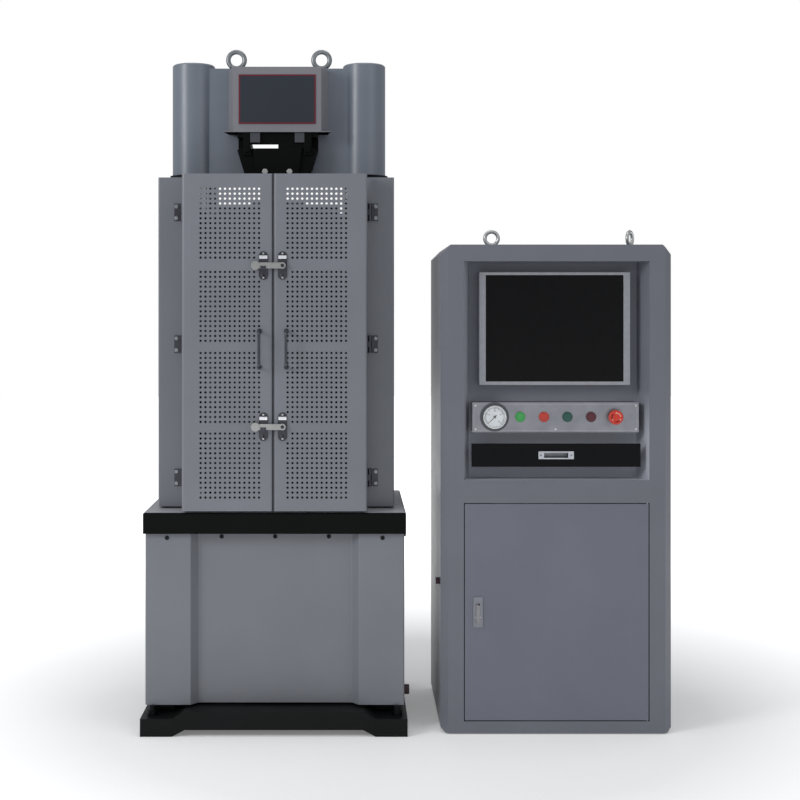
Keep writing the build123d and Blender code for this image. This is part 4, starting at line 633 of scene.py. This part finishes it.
PIECE = {}
for node, material, width in (
    # foot in black painted lighter: painted light from the floor
    ("base_frame", foot_black_floor_lit, 2.0), ("housing_front", housing_enamel, 0.8),
    ("housing_wrap", housing_enamel, 0.6), ("top_plate", black_enamel, 1.2),
    # fixed panels in the darker copy of the door enamel: painted shade
    ("guard_panels", shaded_panel_enamel, 0.5), ("upper_crosshead", casting_enamel, 1.5),
    ("name_box", box_enamel, 1.0), ("upper_grip_cheeks", black_enamel, 1.0),
    # worktable and middle crosshead in black: painted shade inside the guard
    ("worktable", inner_shade_black, 1.5), ("middle_crosshead", inner_shade_black, 1.5),
    ("main_cylinder", casting_enamel, 1.0), ("crosshead_drive", black_enamel, 1.0),
    ("upper_platen", turned_steel, 0.5), ("lower_platen", turned_steel, 0.5),
    ("lower_grip_cover", ground_steel, 0.8), ("columns", chrome, 0.6), ("piston", chrome, 0.6),
    ("crosshead_eyebolts", galvanised, 0.5), ("cabinet_eyebolts", zinc, 0.4),
    ("leveling_bolts", black_oxide_and_keyhole_shade, 0.6), ("housing_screws", black_oxide_and_keyhole_shade, 0.3),
    ("hinge_frames", hinge_steel_and_dark_reflection, 0.4), ("upper_grip_front", black_enamel, 0.6),
    # latch plates in the dark steel: a painted dark reflection
    ("left_door_fittings", hinge_steel_and_dark_reflection, 0.3), ("right_door_fittings", hinge_steel_and_dark_reflection, 0.3),
    ("left_door_handle", handle_steel, 0.3), ("right_door_handle", handle_steel, 0.3),
    ("upper_latch_arm", stainless, 0.8), ("lower_latch_arm", stainless, 0.8),
    # recess in enamel painted paler: painted light
    ("cabinet_shell", cabinet_enamel, 1.0), ("recess_tub", recess_enamel_lit, 0.5),
    ("monitor", silver_plastic, 1.2), ("monitor_screen", screen_glass, 0.4),
    ("control_panel", brushed, 0.5), ("pressure_gauge", chrome, 0.5), ("button_bezels", collar_metal_and_pocket_shade, 0.2),
    ("emergency_stop", stop_red, 0.5), ("keyboard_drawer", black_gloss, 0.6),
    ("drawer_pull", pull_metal, 0.5), ("cabinet_door", door_enamel, 0.8),
    ("door_lock", lock_metal, 0.4), ("lock_lever", lever_metal, 1.0), ("cabinet_fittings", zinc, 0.3),
    ("hydraulic_unit", casting_enamel, 1.0), ("crosshead_nuts", bronze, 0.6),
    ("upper_jaw_left", black_enamel, 0.4), ("upper_jaw_right", black_enamel, 0.4),
    ("lower_jaw_left", ground_steel, 0.4), ("lower_jaw_right", ground_steel, 0.4),
    ("nameplate", slate, 0.4), ("gauge_needle", black_plastic, 0.1),
    ("button_start", green_cap, 0.3), ("button_stop", red_cap, 0.3),
    ("button_pump_on", dark_green_cap, 0.3), ("button_pump_off", dark_red_cap, 0.3),
):
    PIECE[node] = dressed(node, material, width)


# Second materials on single faces

def tower_x(point):
    """Distance to the right of the load frame's middle, in millimetres."""
    return (point.x - TOWER_X) / MM


def cabinet_x(point):
    """Distance to the right of the cabinet's middle, in millimetres."""
    return (point.x - CABINET_X) / MM


FACING = 0.9                           # a face turned this far towards a side counts as facing it
REAR_PANEL_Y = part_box("guard_panels")[1].y - 25 * MM
GUARD_INNER_X = 301
HINGE_SCREW_X, HINGE_FACE_Y = 287.5, -173.2 * MM
LATCH_HEIGHTS, LATCH_PLATES_X = (0.866, 1.321), (-31, 23)
LATCH_SCREW_HIGH, PLATE_FRONT_Y = 27 * MM, -268 * MM
SCREW_NEAR = 6.5                       # takes in one screw head, in millimetres
POCKET_LINKS_Z, POCKET_LINKS_X = 1.689, 79.5
GRIP_SCREWS_Z, GRIP_FACE_Y = 1.615, -102.2 * MM
BOX_FLOOR_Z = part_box("name_box")[0].z + 4 * MM
FRAME_PORT_X, CABINET_PORT_X, REAR_PORT_Y = 368.5, -326.5, 225.5 * MM

accent(PIECE["top_plate"], plate_face, lambda c, n: n.z > FACING)
# Painted shade: the rear panel's faces inside the guard in black
accent(PIECE["guard_panels"], inner_shade_black,
       lambda c, n: abs(tower_x(c)) < GUARD_INNER_X and c.y > REAR_PANEL_Y and n.y < 0.5)
accent(PIECE["hinge_frames"], galvanised,
       lambda c, n: c.y < HINGE_FACE_Y and abs(abs(tower_x(c)) - HINGE_SCREW_X) < SCREW_NEAR)
# Painted shade on the links in the pocket
accent(PIECE["upper_grip_front"], painted_shade_grey,
       lambda c, n: c.z > POCKET_LINKS_Z and abs(tower_x(c)) < POCKET_LINKS_X)
accent(PIECE["upper_grip_front"], zinc, lambda c, n: c.y < GRIP_FACE_Y and c.z < GRIP_SCREWS_Z)
accent(PIECE["name_box"], flat_black, lambda c, n: c.z < BOX_FLOOR_Z)
accent(PIECE["housing_wrap"], port_bronze, lambda c, n: tower_x(c) > FRAME_PORT_X)
accent(PIECE["cabinet_shell"], port_bronze,
       lambda c, n: cabinet_x(c) < CABINET_PORT_X or c.y > REAR_PORT_Y)


def fitting_screw(c):
    """True on the round screw heads of a latch plate."""
    near_x = min(abs(tower_x(c) - x) for x in LATCH_PLATES_X) < SCREW_NEAR
    near_z = min(abs(abs(c.z - z) - LATCH_SCREW_HIGH) for z in LATCH_HEIGHTS) < SCREW_NEAR * MM
    return near_x and near_z and c.y < PLATE_FRONT_Y - 0.2 * MM


for node in ("left_door_fittings", "right_door_fittings"):
    accent(PIECE[node], zinc, lambda c, n: fitting_screw(c))

# Painted light: the recess grows paler below a height
painted_light_below(recess_enamel_lit, RECESS_PAINTED_LIGHT, FADE_LOW_Z, FADE_HIGH_Z)
# Painted light on the recess's left wall
accent(PIECE["recess_tub"], recess_side_lit, lambda c, n: n.x > 0.5 and cabinet_x(c) < 0)


# Fine details

OUT, SUNK = 1.0, -1.0                  # where the thickness of a flat sheet goes


def thickened(obj, thick, side=OUT):
    """Gives a flat sheet that faces the front its thickness."""
    solid = obj.modifiers.new("thickness", "SOLIDIFY")
    solid.thickness = thick
    solid.offset = side
    return apply_all(obj)


def strip_frame(name, low, high, inset, y, width, thick):
    """A rectangular outline of flat strip on a front face, set in from two corners."""
    x0, x1, z0, z1 = low.x + inset, high.x - inset, low.z + inset, high.z - inset
    bpy.ops.mesh.primitive_plane_add(size=1, location=((x0 + x1) / 2, y, (z0 + z1) / 2),
                                     rotation=STANDING)
    strip = named(name)
    strip.scale = (x1 - x0, z1 - z0, 1)
    settle(strip)
    edit(strip)
    bpy.ops.mesh.select_all(action="SELECT")
    bpy.ops.mesh.inset(thickness=width, depth=0)
    bpy.ops.mesh.delete(type="FACE")
    done()
    return thickened(strip, thick)


def ring_band(name, x, z, y, inner, outer, thick, spans, side=OUT):
    """A flat ring on a front face, kept where its angle in degrees falls in a span."""
    bpy.ops.mesh.primitive_circle_add(vertices=72, radius=inner, fill_type="NOTHING",
                                      location=(0, 0, 0), rotation=STANDING)
    band = settle(named(name))
    edit(band, "EDGE")
    bpy.ops.mesh.select_all(action="SELECT")
    bpy.ops.mesh.extrude_edges_move()
    bpy.ops.transform.resize(value=(outer / inner, 1, outer / inner), center_override=(0, 0, 0))
    done()
    pick_faces(band, lambda c, n: not any(a < math.degrees(math.atan2(c.z, c.x)) % 360 < b
                                          for a, b in spans))
    bpy.ops.mesh.delete(type="FACE")
    done()
    face_front(band)
    band.location = (x, y, z)
    return thickened(settle(band), thick, side)


def printed(name, words, x, z, y, size):
    """Raised print on a front face."""
    bpy.ops.object.text_add(location=(x, y, z), rotation=STANDING)
    text = bpy.context.active_object
    text.data.body = words
    text.data.size = size
    text.data.align_x, text.data.align_y = "CENTER", "CENTER"
    text.data.extrude = 0.05 * MM
    only(text)
    bpy.ops.object.convert(target="MESH")
    return settle(named(name))


# Pressure gauge: grey flange, white dial with its scale, glass
gauge_low, gauge_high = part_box("pressure_gauge")
GAUGE_X = (gauge_low.x + gauge_high.x) / 2
GAUGE_Z = (gauge_low.z + gauge_high.z) / 2
DIAL_Y = gauge_low.y + 8 * MM
DIAL_R = 29 * MM
SCALE_MAX, SCALE_STEPS, FIGURE_EVERY = 40, 40, 10
SCALE_START, SCALE_SWEEP = 225, 270    # degrees, clockwise from the lower left
SCALE_GAP = (225, 315)                 # degrees left free at the bottom
LONG_MARK, SHORT_MARK, MARK_THICK = (5 * MM, 1.1 * MM), (2.6 * MM, 0.5 * MM), 0.2 * MM
SCALE_IN, LINE_WIDE, LINE_THICK = 2.5 * MM, 0.5 * MM, 0.1 * MM
FIGURE_IN, FIGURE_SIZE = 11.5 * MM, 6 * MM
GLASS_FRONT, GLASS_BACK, GLASS_LAP = 1 * MM, 2.4 * MM, 0.02 * MM

accent(PIECE["pressure_gauge"], flange_grey, lambda c, n: c.y > DIAL_Y + MM)
accent(PIECE["pressure_gauge"], dial_white,
       lambda c, n: n.y < -FACING and abs(c.y - DIAL_Y) < 0.5 * MM)
marks = []
for step in range(SCALE_STEPS + 1):
    angle = math.radians(SCALE_START - SCALE_SWEEP * step / SCALE_STEPS)
    major = step % FIGURE_EVERY == 0
    length, width = LONG_MARK if major else SHORT_MARK
    middle = DIAL_R - SCALE_IN - length / 2
    bpy.ops.mesh.primitive_cube_add(
        size=1, location=(GAUGE_X + middle * math.cos(angle), DIAL_Y, GAUGE_Z + middle * math.sin(angle)),
        rotation=(0, -angle, 0), scale=(length, MARK_THICK, width))
    marks.append(settle(named(f"mark_{step}")))
    if major:
        reach = DIAL_R - FIGURE_IN
        marks.append(printed(f"number_{step}", str(SCALE_MAX * step // SCALE_STEPS),
                             GAUGE_X + reach * math.cos(angle), GAUGE_Z + reach * math.sin(angle),
                             DIAL_Y, FIGURE_SIZE))
marks.append(ring_band("scale_line", GAUGE_X, GAUGE_Z, DIAL_Y, DIAL_R - SCALE_IN,
                       DIAL_R - SCALE_IN + LINE_WIDE, LINE_THICK, ((0, SCALE_GAP[0]), (SCALE_GAP[1], 360))))
keep_with("pressure_gauge", joined("gauge_scale", marks), dial_black)
glass = disc_y("gauge_glass", GAUGE_X, GAUGE_Z, gauge_low.y + GLASS_FRONT, gauge_low.y + GLASS_BACK,
               DIAL_R + GLASS_LAP)
keep_with("pressure_gauge", glass, gauge_glass)

# Bores behind the button caps: half a millimetre deeper, so that a pressed cap keeps clear of the bottom
CAP_BORE_DEEP, CAP_BORE_SPARE = 11 * MM, 0.5 * MM
bore_bottom_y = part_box("button_bezels")[0].y + CAP_BORE_DEEP
pick_points(PIECE["button_bezels"], lambda p: abs(p.y - bore_bottom_y) < 0.05 * MM)
bpy.ops.transform.translate(value=(0, CAP_BORE_SPARE, 0))
done()

# Control plate: border line, bright screws, a coloured collar round each cap
plate_low, plate_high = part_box("control_panel")
plate_face_y = plate_low.y + 2 * MM
BORDER_IN, BORDER_WIDE, PRINT_THICK = 5 * MM, 0.8 * MM, 0.12 * MM
COLLAR_NEAR = 20 * MM
border = strip_frame("control_border", plate_low, plate_high, BORDER_IN, plate_face_y,
                     BORDER_WIDE, PRINT_THICK)
keep_with("control_panel", border, pale_line)
for node, cap in (("button_start", green_cap), ("button_stop", red_cap),
                  ("button_pump_on", dark_green_cap), ("button_pump_off", dark_red_cap)):
    cap_low, cap_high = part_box(node)
    middle = (cap_low.x + cap_high.x) / 2
    accent(PIECE["button_bezels"], cap,
           lambda c, n: abs(c.x - middle) < COLLAR_NEAR and c.y < plate_face_y - 0.5 * MM)
accent(PIECE["control_panel"], zinc, lambda c, n: c.y < plate_face_y - 0.2 * MM)

# Emergency stop: the printed ring of arrows, the first one on the cap and the other two sunk flush in it
stop_low, stop_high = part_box("emergency_stop")
STOP_X, STOP_Z = (stop_low.x + stop_high.x) / 2, (stop_low.z + stop_high.z) / 2
ARROW_STARTS, ARROW_SWEEP, TIP_AHEAD = (10, 130, 250), 75, 6     # degrees
ARROW_INNER, ARROW_OUTER, ARROW_THICK = 11.5 * MM, 13.7 * MM, 0.15 * MM
TIP_R, TIP_THICK, TIP_REACH = 3.2 * MM, 0.3 * MM, 12.6 * MM
arrows = []
for start, side in zip(ARROW_STARTS, (OUT, SUNK, SUNK)):
    arrows.append(ring_band(f"arrow_band_{start}", STOP_X, STOP_Z, stop_low.y, ARROW_INNER, ARROW_OUTER,
                            ARROW_THICK, ((start, start + ARROW_SWEEP),), side))
    angle = math.radians(start + ARROW_SWEEP + TIP_AHEAD)
    bpy.ops.mesh.primitive_cylinder_add(vertices=3, radius=TIP_R, depth=TIP_THICK, rotation=STANDING,
                                        location=(0, 0, 0))
    tip = settle(named(f"arrow_tip_{start}"))
    edit(tip)
    bpy.ops.mesh.select_all(action="SELECT")
    bpy.ops.transform.rotate(value=angle, orient_axis="Y", center_override=(0, 0, 0))
    done()
    tip.location = (STOP_X + TIP_REACH * math.cos(angle), stop_low.y, STOP_Z + TIP_REACH * math.sin(angle))
    arrows.append(settle(tip))
keep_with("emergency_stop", joined("stop_arrows", arrows), arrow_print)

# Name plate: the thin dark red line near its edge
name_low, name_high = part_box("nameplate")
NAME_LINE_IN, NAME_LINE_WIDE = 0.3 * MM, 4 * MM
line = strip_frame("nameplate_line", name_low, name_high, NAME_LINE_IN, name_low.y,
                   NAME_LINE_WIDE, PRINT_THICK)
keep_with("nameplate", line, dark_red)

# Drawer pull: its pocket darker, painted shade in the hollow, and two screws
pull_low, pull_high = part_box("drawer_pull")
pull_z = (pull_low.z + pull_high.z) / 2
PULL_POCKET_IN, PULL_SCREW_IN, PULL_SCREW_R, PULL_SCREW_HIGH = 3 * MM, 7 * MM, 2.6 * MM, 0.8 * MM
# Painted shade: the pull's recessed faces in a darker metal
accent(PIECE["drawer_pull"], collar_metal_and_pocket_shade, lambda c, n: c.y > pull_low.y + PULL_POCKET_IN)
screws = [disc_y("pull_screw", x, pull_z, pull_low.y - PULL_SCREW_HIGH, pull_low.y, PULL_SCREW_R, 24)
          for x in (pull_low.x + PULL_SCREW_IN, pull_high.x - PULL_SCREW_IN)]
keep_with("drawer_pull", bevelled(joined("pull_screws", screws), 0.3 * MM), collar_metal_and_pocket_shade)

# Keyboard: deck and single keys
KEY_PITCH, KEY_SIZE, KEY_HIGH, KEY_ROUND, KEY_TAPER = 19 * MM, 17 * MM, 5 * MM, 0.8 * MM, 0.8
KEY_COLUMNS, KEY_ROWS = 19, 5
DECK_ROUND = 2 * MM
deck_low, deck_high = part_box("keyboard")
deck_top = deck_high.z - KEY_HIGH
deck = block("keyboard_deck", deck_low, (deck_high.x, deck_high.y, deck_top))
keep(bevelled(deck, DECK_ROUND), "drawer", SLOT_OF["keyboard"], black_plastic, "keyboard")
key_x = (deck_low.x + deck_high.x - KEY_COLUMNS * KEY_PITCH + KEY_PITCH - KEY_SIZE) / 2
key_y = (deck_low.y + deck_high.y - KEY_ROWS * KEY_PITCH + KEY_PITCH - KEY_SIZE) / 2
keys = block("keyboard_keys", (key_x, key_y, deck_top), (key_x + KEY_SIZE, key_y + KEY_SIZE, deck_high.z))
pick_points(keys, lambda p: p.z > deck_top + MM)
bpy.ops.transform.resize(value=(KEY_TAPER, KEY_TAPER, 1),
                         center_override=(key_x + KEY_SIZE / 2, key_y + KEY_SIZE / 2, 0))
done()
bevelled(keys, KEY_ROUND)
keys = repeat(repeat(keys, KEY_COLUMNS, (KEY_PITCH, 0, 0)), KEY_ROWS, (0, KEY_PITCH, 0))
keep(keys, "drawer", SLOT_OF["keyboard"], key_plastic)

# Lock: the keyhole as a black disc on the lever, painted shade for the keyway, and the bright edge under its
# lower end
lock_low, lock_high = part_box("door_lock")
lever_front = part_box("lock_lever")[0].y
LOCK_X = (lock_low.x + lock_high.x) / 2
KEYHOLE_DOWN, KEYHOLE_ASIDE, KEYHOLE_R = 20.5 * MM, 2.5 * MM, 2.4 * MM
EDGE_DOWN, EDGE_HALF_W, EDGE_HIGH, EDGE_OUT = 56 * MM, 8 * MM, 2.6 * MM, 0.3 * MM
# the keyhole's black disc is painted shade
keyhole = disc_y("keyhole", LOCK_X + KEYHOLE_ASIDE, lock_high.z - KEYHOLE_DOWN,
                 lever_front - 0.2 * MM, lever_front + MM, KEYHOLE_R, 32)
keep_with("lock_lever", keyhole, black_oxide_and_keyhole_shade)
edge_z = lock_high.z - EDGE_DOWN
edge = block("lock_edge", (LOCK_X - EDGE_HALF_W, lock_low.y - EDGE_OUT, edge_z - EDGE_HIGH),
             (LOCK_X + EDGE_HALF_W, lock_low.y + EDGE_OUT, edge_z))
keep_with("door_lock", edge, zinc)

# Rubber strip that closes the gap between the guard doors, kept clear of the left one
right_low, right_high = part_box("right_door")
left_edge_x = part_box("left_door")[1].x
STRIP_CLEAR, STRIP_LAP, STRIP_FRONT, STRIP_BACK = 0.2 * MM, 2 * MM, 1.5 * MM, 15 * MM
strip = block("meeting_seal", (left_edge_x + STRIP_CLEAR, right_low.y + STRIP_FRONT, right_low.z + STRIP_LAP),
              (right_low.x + STRIP_LAP, right_low.y + STRIP_BACK, right_high.z - STRIP_LAP))
keep(strip, "right_guard_door", "black_plastic", seal_grey)

# Black wiper ring under each boss, round its column; its black is partly the real rubber and partly painted
# shade under the boss
column_low, column_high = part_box("columns")
COLUMN_R, WIPER_R, WIPER_ROUND = 35 * MM, 54 * MM, 1.5 * MM
WIPER_Z0, WIPER_Z1 = 1.582, 1.598
for index, x in enumerate((column_low.x + COLUMN_R, column_high.x - COLUMN_R)):
    bpy.ops.mesh.primitive_cylinder_add(vertices=64, radius=WIPER_R, depth=WIPER_Z1 - WIPER_Z0,
                                        location=(x, 0, (WIPER_Z0 + WIPER_Z1) / 2))
    wiper = settle(named(f"column_wiper_{index}"))
    keep(bevelled(wiper, WIPER_ROUND), BODY_OF["columns"], "black_plastic", gasket_and_boss_shade)

# Latch plates: near-white ledge bar behind the arm's sweep, its white a painted highlight; small screws near
# the ends, dark pivot head
LEDGE_HIGH, LEDGE_HALF_W, LEDGE_HALF_H, LEDGE_ROUND = 23.7 * MM, 11.5 * MM, 4.7 * MM, 0.8 * MM
LEDGE_CLEAR, LEDGE_SUNK = 0.4 * MM, 0.5 * MM
SCREW_SHIFT, SCREW_SHRINK = 7 * MM, 0.5
PIVOT_HEAD_R, PIVOT_HEAD_T, PIVOT_ROUND, PIVOT_IN = 5 * MM, 0.8 * MM, 0.3 * MM, 3 * MM
ARM_OF = {LATCH_HEIGHTS[0]: "lower_latch_arm", LATCH_HEIGHTS[1]: "upper_latch_arm"}

for index, (x, z) in enumerate((x, z) for z in LATCH_HEIGHTS for x in LATCH_PLATES_X):
    node = "left_door_fittings" if x < 0 else "right_door_fittings"
    middle = TOWER_X + x * MM
    for side in (-1, 1):
        height = z + side * LATCH_SCREW_HIGH
        pick_points(PIECE[node], lambda p: math.hypot(p.x - middle, p.z - height) < SCREW_NEAR * MM
                    and p.y < PLATE_FRONT_Y - 0.1 * MM)
        bpy.ops.transform.resize(value=(SCREW_SHRINK, 1, SCREW_SHRINK), center_override=(middle, 0, height))
        bpy.ops.transform.translate(value=(0, 0, side * SCREW_SHIFT))
        done()
    arm_low, arm_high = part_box(ARM_OF[z])
    ledge_z = z + LEDGE_HIGH
    bar = block(f"latch_ledge_{index}",
                (middle - LEDGE_HALF_W, arm_high.y + LEDGE_CLEAR, ledge_z - LEDGE_HALF_H),
                (middle + LEDGE_HALF_W, PLATE_FRONT_Y + LEDGE_SUNK, ledge_z + LEDGE_HALF_H))
    # the ledge's near-white is a painted highlight
    keep_with(node, bevelled(bar, LEDGE_ROUND), ledge_painted_glint)
    if x > 0:
        front = arm_low.y + PIVOT_IN
        head = disc_y(f"latch_pivot_{index}", middle, z, front - PIVOT_HEAD_T, front, PIVOT_HEAD_R, 32)
        keep(bevelled(head, PIVOT_ROUND), BODY_OF[ARM_OF[z]], SLOT_OF[node], black_oxide_and_keyhole_shade)


# Lead screws with their real thread

THREAD_LEAD, THREAD_DEEP, THREAD_STEPS = 12 * MM, 3.2 * MM, 20
SCREW_R, JOURNAL_R = 24 * MM, 19 * MM
THREAD_FLOOR, THREAD_TOP = 0.632, 1.572
CORE_BELOW = 6 * MM                    # the thinner core starts this far under the thread


def threaded(node):
    """A trapezoid thread wound round a core, over the CAD screw's journal."""
    low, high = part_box(node)
    x, y = (low.x + high.x) / 2, (low.y + high.y) / 2
    core_r = SCREW_R - THREAD_DEEP
    bpy.ops.mesh.primitive_plane_add(size=2 * MM, location=(0, 0, 0))
    ridge = named(node + "_thread")
    pick_points(ridge, lambda p: p.x > 0 or p.y > 0)
    bpy.ops.mesh.delete(type="VERT")
    done()
    pick_points(ridge, lambda p: True)
    bpy.ops.transform.translate(value=(core_r + MM, MM, 0))
    quarter = THREAD_LEAD / 4
    for step in ((0, 0, quarter), (THREAD_DEEP, 0, quarter / 2), (0, 0, 2 * quarter),
                 (-THREAD_DEEP, 0, quarter / 2)):
        bpy.ops.mesh.extrude_region_move(TRANSFORM_OT_translate={"value": step})
    done()
    wind = ridge.modifiers.new("thread", "SCREW")
    wind.axis = "Z"
    wind.screw_offset = THREAD_LEAD
    wind.iterations = int((THREAD_TOP - THREAD_FLOOR) / THREAD_LEAD) - 1
    wind.steps = THREAD_STEPS
    wind.render_steps = THREAD_STEPS
    wind.use_merge_vertices = True
    wind.merge_threshold = SAME_EDGE
    apply_all(ridge)
    ridge.location = (x, y, THREAD_FLOOR)
    settle(ridge)
    core = merged_copy(node, node + "_core")
    pick_points(core, lambda p: THREAD_FLOOR - CORE_BELOW < p.z
                and math.hypot(p.x - x, p.y - y) > JOURNAL_R)
    shrink = core_r / SCREW_R
    bpy.ops.transform.resize(value=(shrink, shrink, 1), center_override=(x, y, 1))
    done()
    smooth(core)
    screw = joined(node + "_threaded", [core, ridge])
    face_outwards(screw)
    keep(screw, BODY_OF[node], SLOT_OF[node], turned_steel, node)


for node in ("lead_screw_left", "lead_screw_right"):
    threaded(node)


# Floor, light and camera

GLOW_FROM, GLOW_TO, GLOW_NEAR, GLOW_FAR = 0.9, 2.6, 0.16, 1.0     # metres out, and the strength there
AMBIENT = 0.5


def light(name, place, aim, size, power):
    """A softbox: an area lamp turned towards its aim."""
    lamp = bpy.data.lights.new(name, "AREA")
    lamp.shape = "RECTANGLE"
    lamp.size, lamp.size_y = size
    lamp.energy = power
    obj = bpy.data.objects.new(name, lamp)
    bpy.context.scene.collection.objects.link(obj)
    obj.location = place
    obj.rotation_euler = (Vector(aim) - Vector(place)).to_track_quat("-Z", "Y").to_euler()


def bright_ground(name):
    """Pale floor that keeps the shadows by the machine and turns white further out, also in mirrors."""
    material, tree, surface, place = fresh(name)
    cloud = add(tree, "ShaderNodeTexNoise", {"Scale": per_mm(FLOOR_CLOUD_MM), "Detail": 3.0},
                {"Vector": place})
    tone = add(tree, "ShaderNodeValToRGB", links={"Fac": cloud.outputs["Fac"]},
               stops=((LOW_STOP, linear("#f3f3f3")), (HIGH_STOP, linear("#f7f7f7"))))
    tree.links.new(tone.outputs["Color"], surface.inputs["Base Color"])
    surface.inputs["Roughness"].default_value = 0.9
    surface.inputs["Specular IOR Level"].default_value = 0.1
    rays = add(tree, "ShaderNodeLightPath")
    camera_or_mirror = add(tree, "ShaderNodeMath", {"operation": "MAXIMUM"},
                           {0: rays.outputs["Is Camera Ray"], 1: rays.outputs["Is Glossy Ray"]})
    far = add(tree, "ShaderNodeVectorMath", {"operation": "LENGTH"}, {0: place})
    reach = add(tree, "ShaderNodeMapRange", {"From Min": GLOW_FROM, "From Max": GLOW_TO,
                                             "To Min": GLOW_NEAR, "To Max": GLOW_FAR},
                {"Value": far.outputs["Value"]})
    glow = add(tree, "ShaderNodeMath", {"operation": "MULTIPLY"},
               {0: camera_or_mirror.outputs[0], 1: reach.outputs[0]})
    white = add(tree, "ShaderNodeEmission", {"Color": grey(1.0)}, {"Strength": glow.outputs[0]})
    sum_up = add(tree, "ShaderNodeAddShader", links={0: surface.outputs[0], 1: white.outputs[0]})
    tree.links.new(sum_up.outputs[0], tree.nodes["Material Output"].inputs["Surface"])
    return material


bpy.ops.mesh.primitive_plane_add(size=24, location=(0, 4, 0))
floor = settle(named("floor"))
paint(floor, bright_ground("pale floor"))

world = bpy.data.worlds.new("soft studio")
bpy.context.scene.world = world
world.use_nodes = True
sky = world.node_tree
sky.nodes.clear()
rays = add(sky, "ShaderNodeLightPath")
seen = add(sky, "ShaderNodeMath", {"operation": "MAXIMUM"},
           {0: rays.outputs["Is Camera Ray"], 1: rays.outputs["Is Transmission Ray"]})
ambient = add(sky, "ShaderNodeBackground", {"Color": linear("#f4f6f9"), "Strength": AMBIENT})
white = add(sky, "ShaderNodeBackground", {"Color": grey(1.0), "Strength": 1.0})
both = add(sky, "ShaderNodeMixShader", links={0: seen.outputs[0], 1: ambient.outputs[0], 2: white.outputs[0]})
add(sky, "ShaderNodeOutputWorld", links={"Surface": both.outputs[0]})

light("key softbox", (-3.7, -2.8, 2.7), (-0.1, 0, 1.0), (1.5, 1.5), 76)
light("fill softbox", (3.0, -3.4, 2.4), (0.2, 0, 0.9), (2.6, 2.6), 18)
light("top softbox", (0, -0.6, 4.4), (0, 0, 0.8), (3.0, 2.0), 30)

eye = bpy.data.cameras.new("camera")
eye.lens = LENS_MM
eye.sensor_width = SENSOR_MM
eye.sensor_fit = "HORIZONTAL"
viewer = bpy.data.objects.new("camera", eye)
bpy.context.scene.collection.objects.link(viewer)
viewer.location = CAMERA_PLACE
viewer.rotation_euler = STANDING
eye.shift_x, eye.shift_y = CAMERA_SHIFT
bpy.context.scene.camera = viewer
bpy.context.scene.view_settings.view_transform = "Standard"
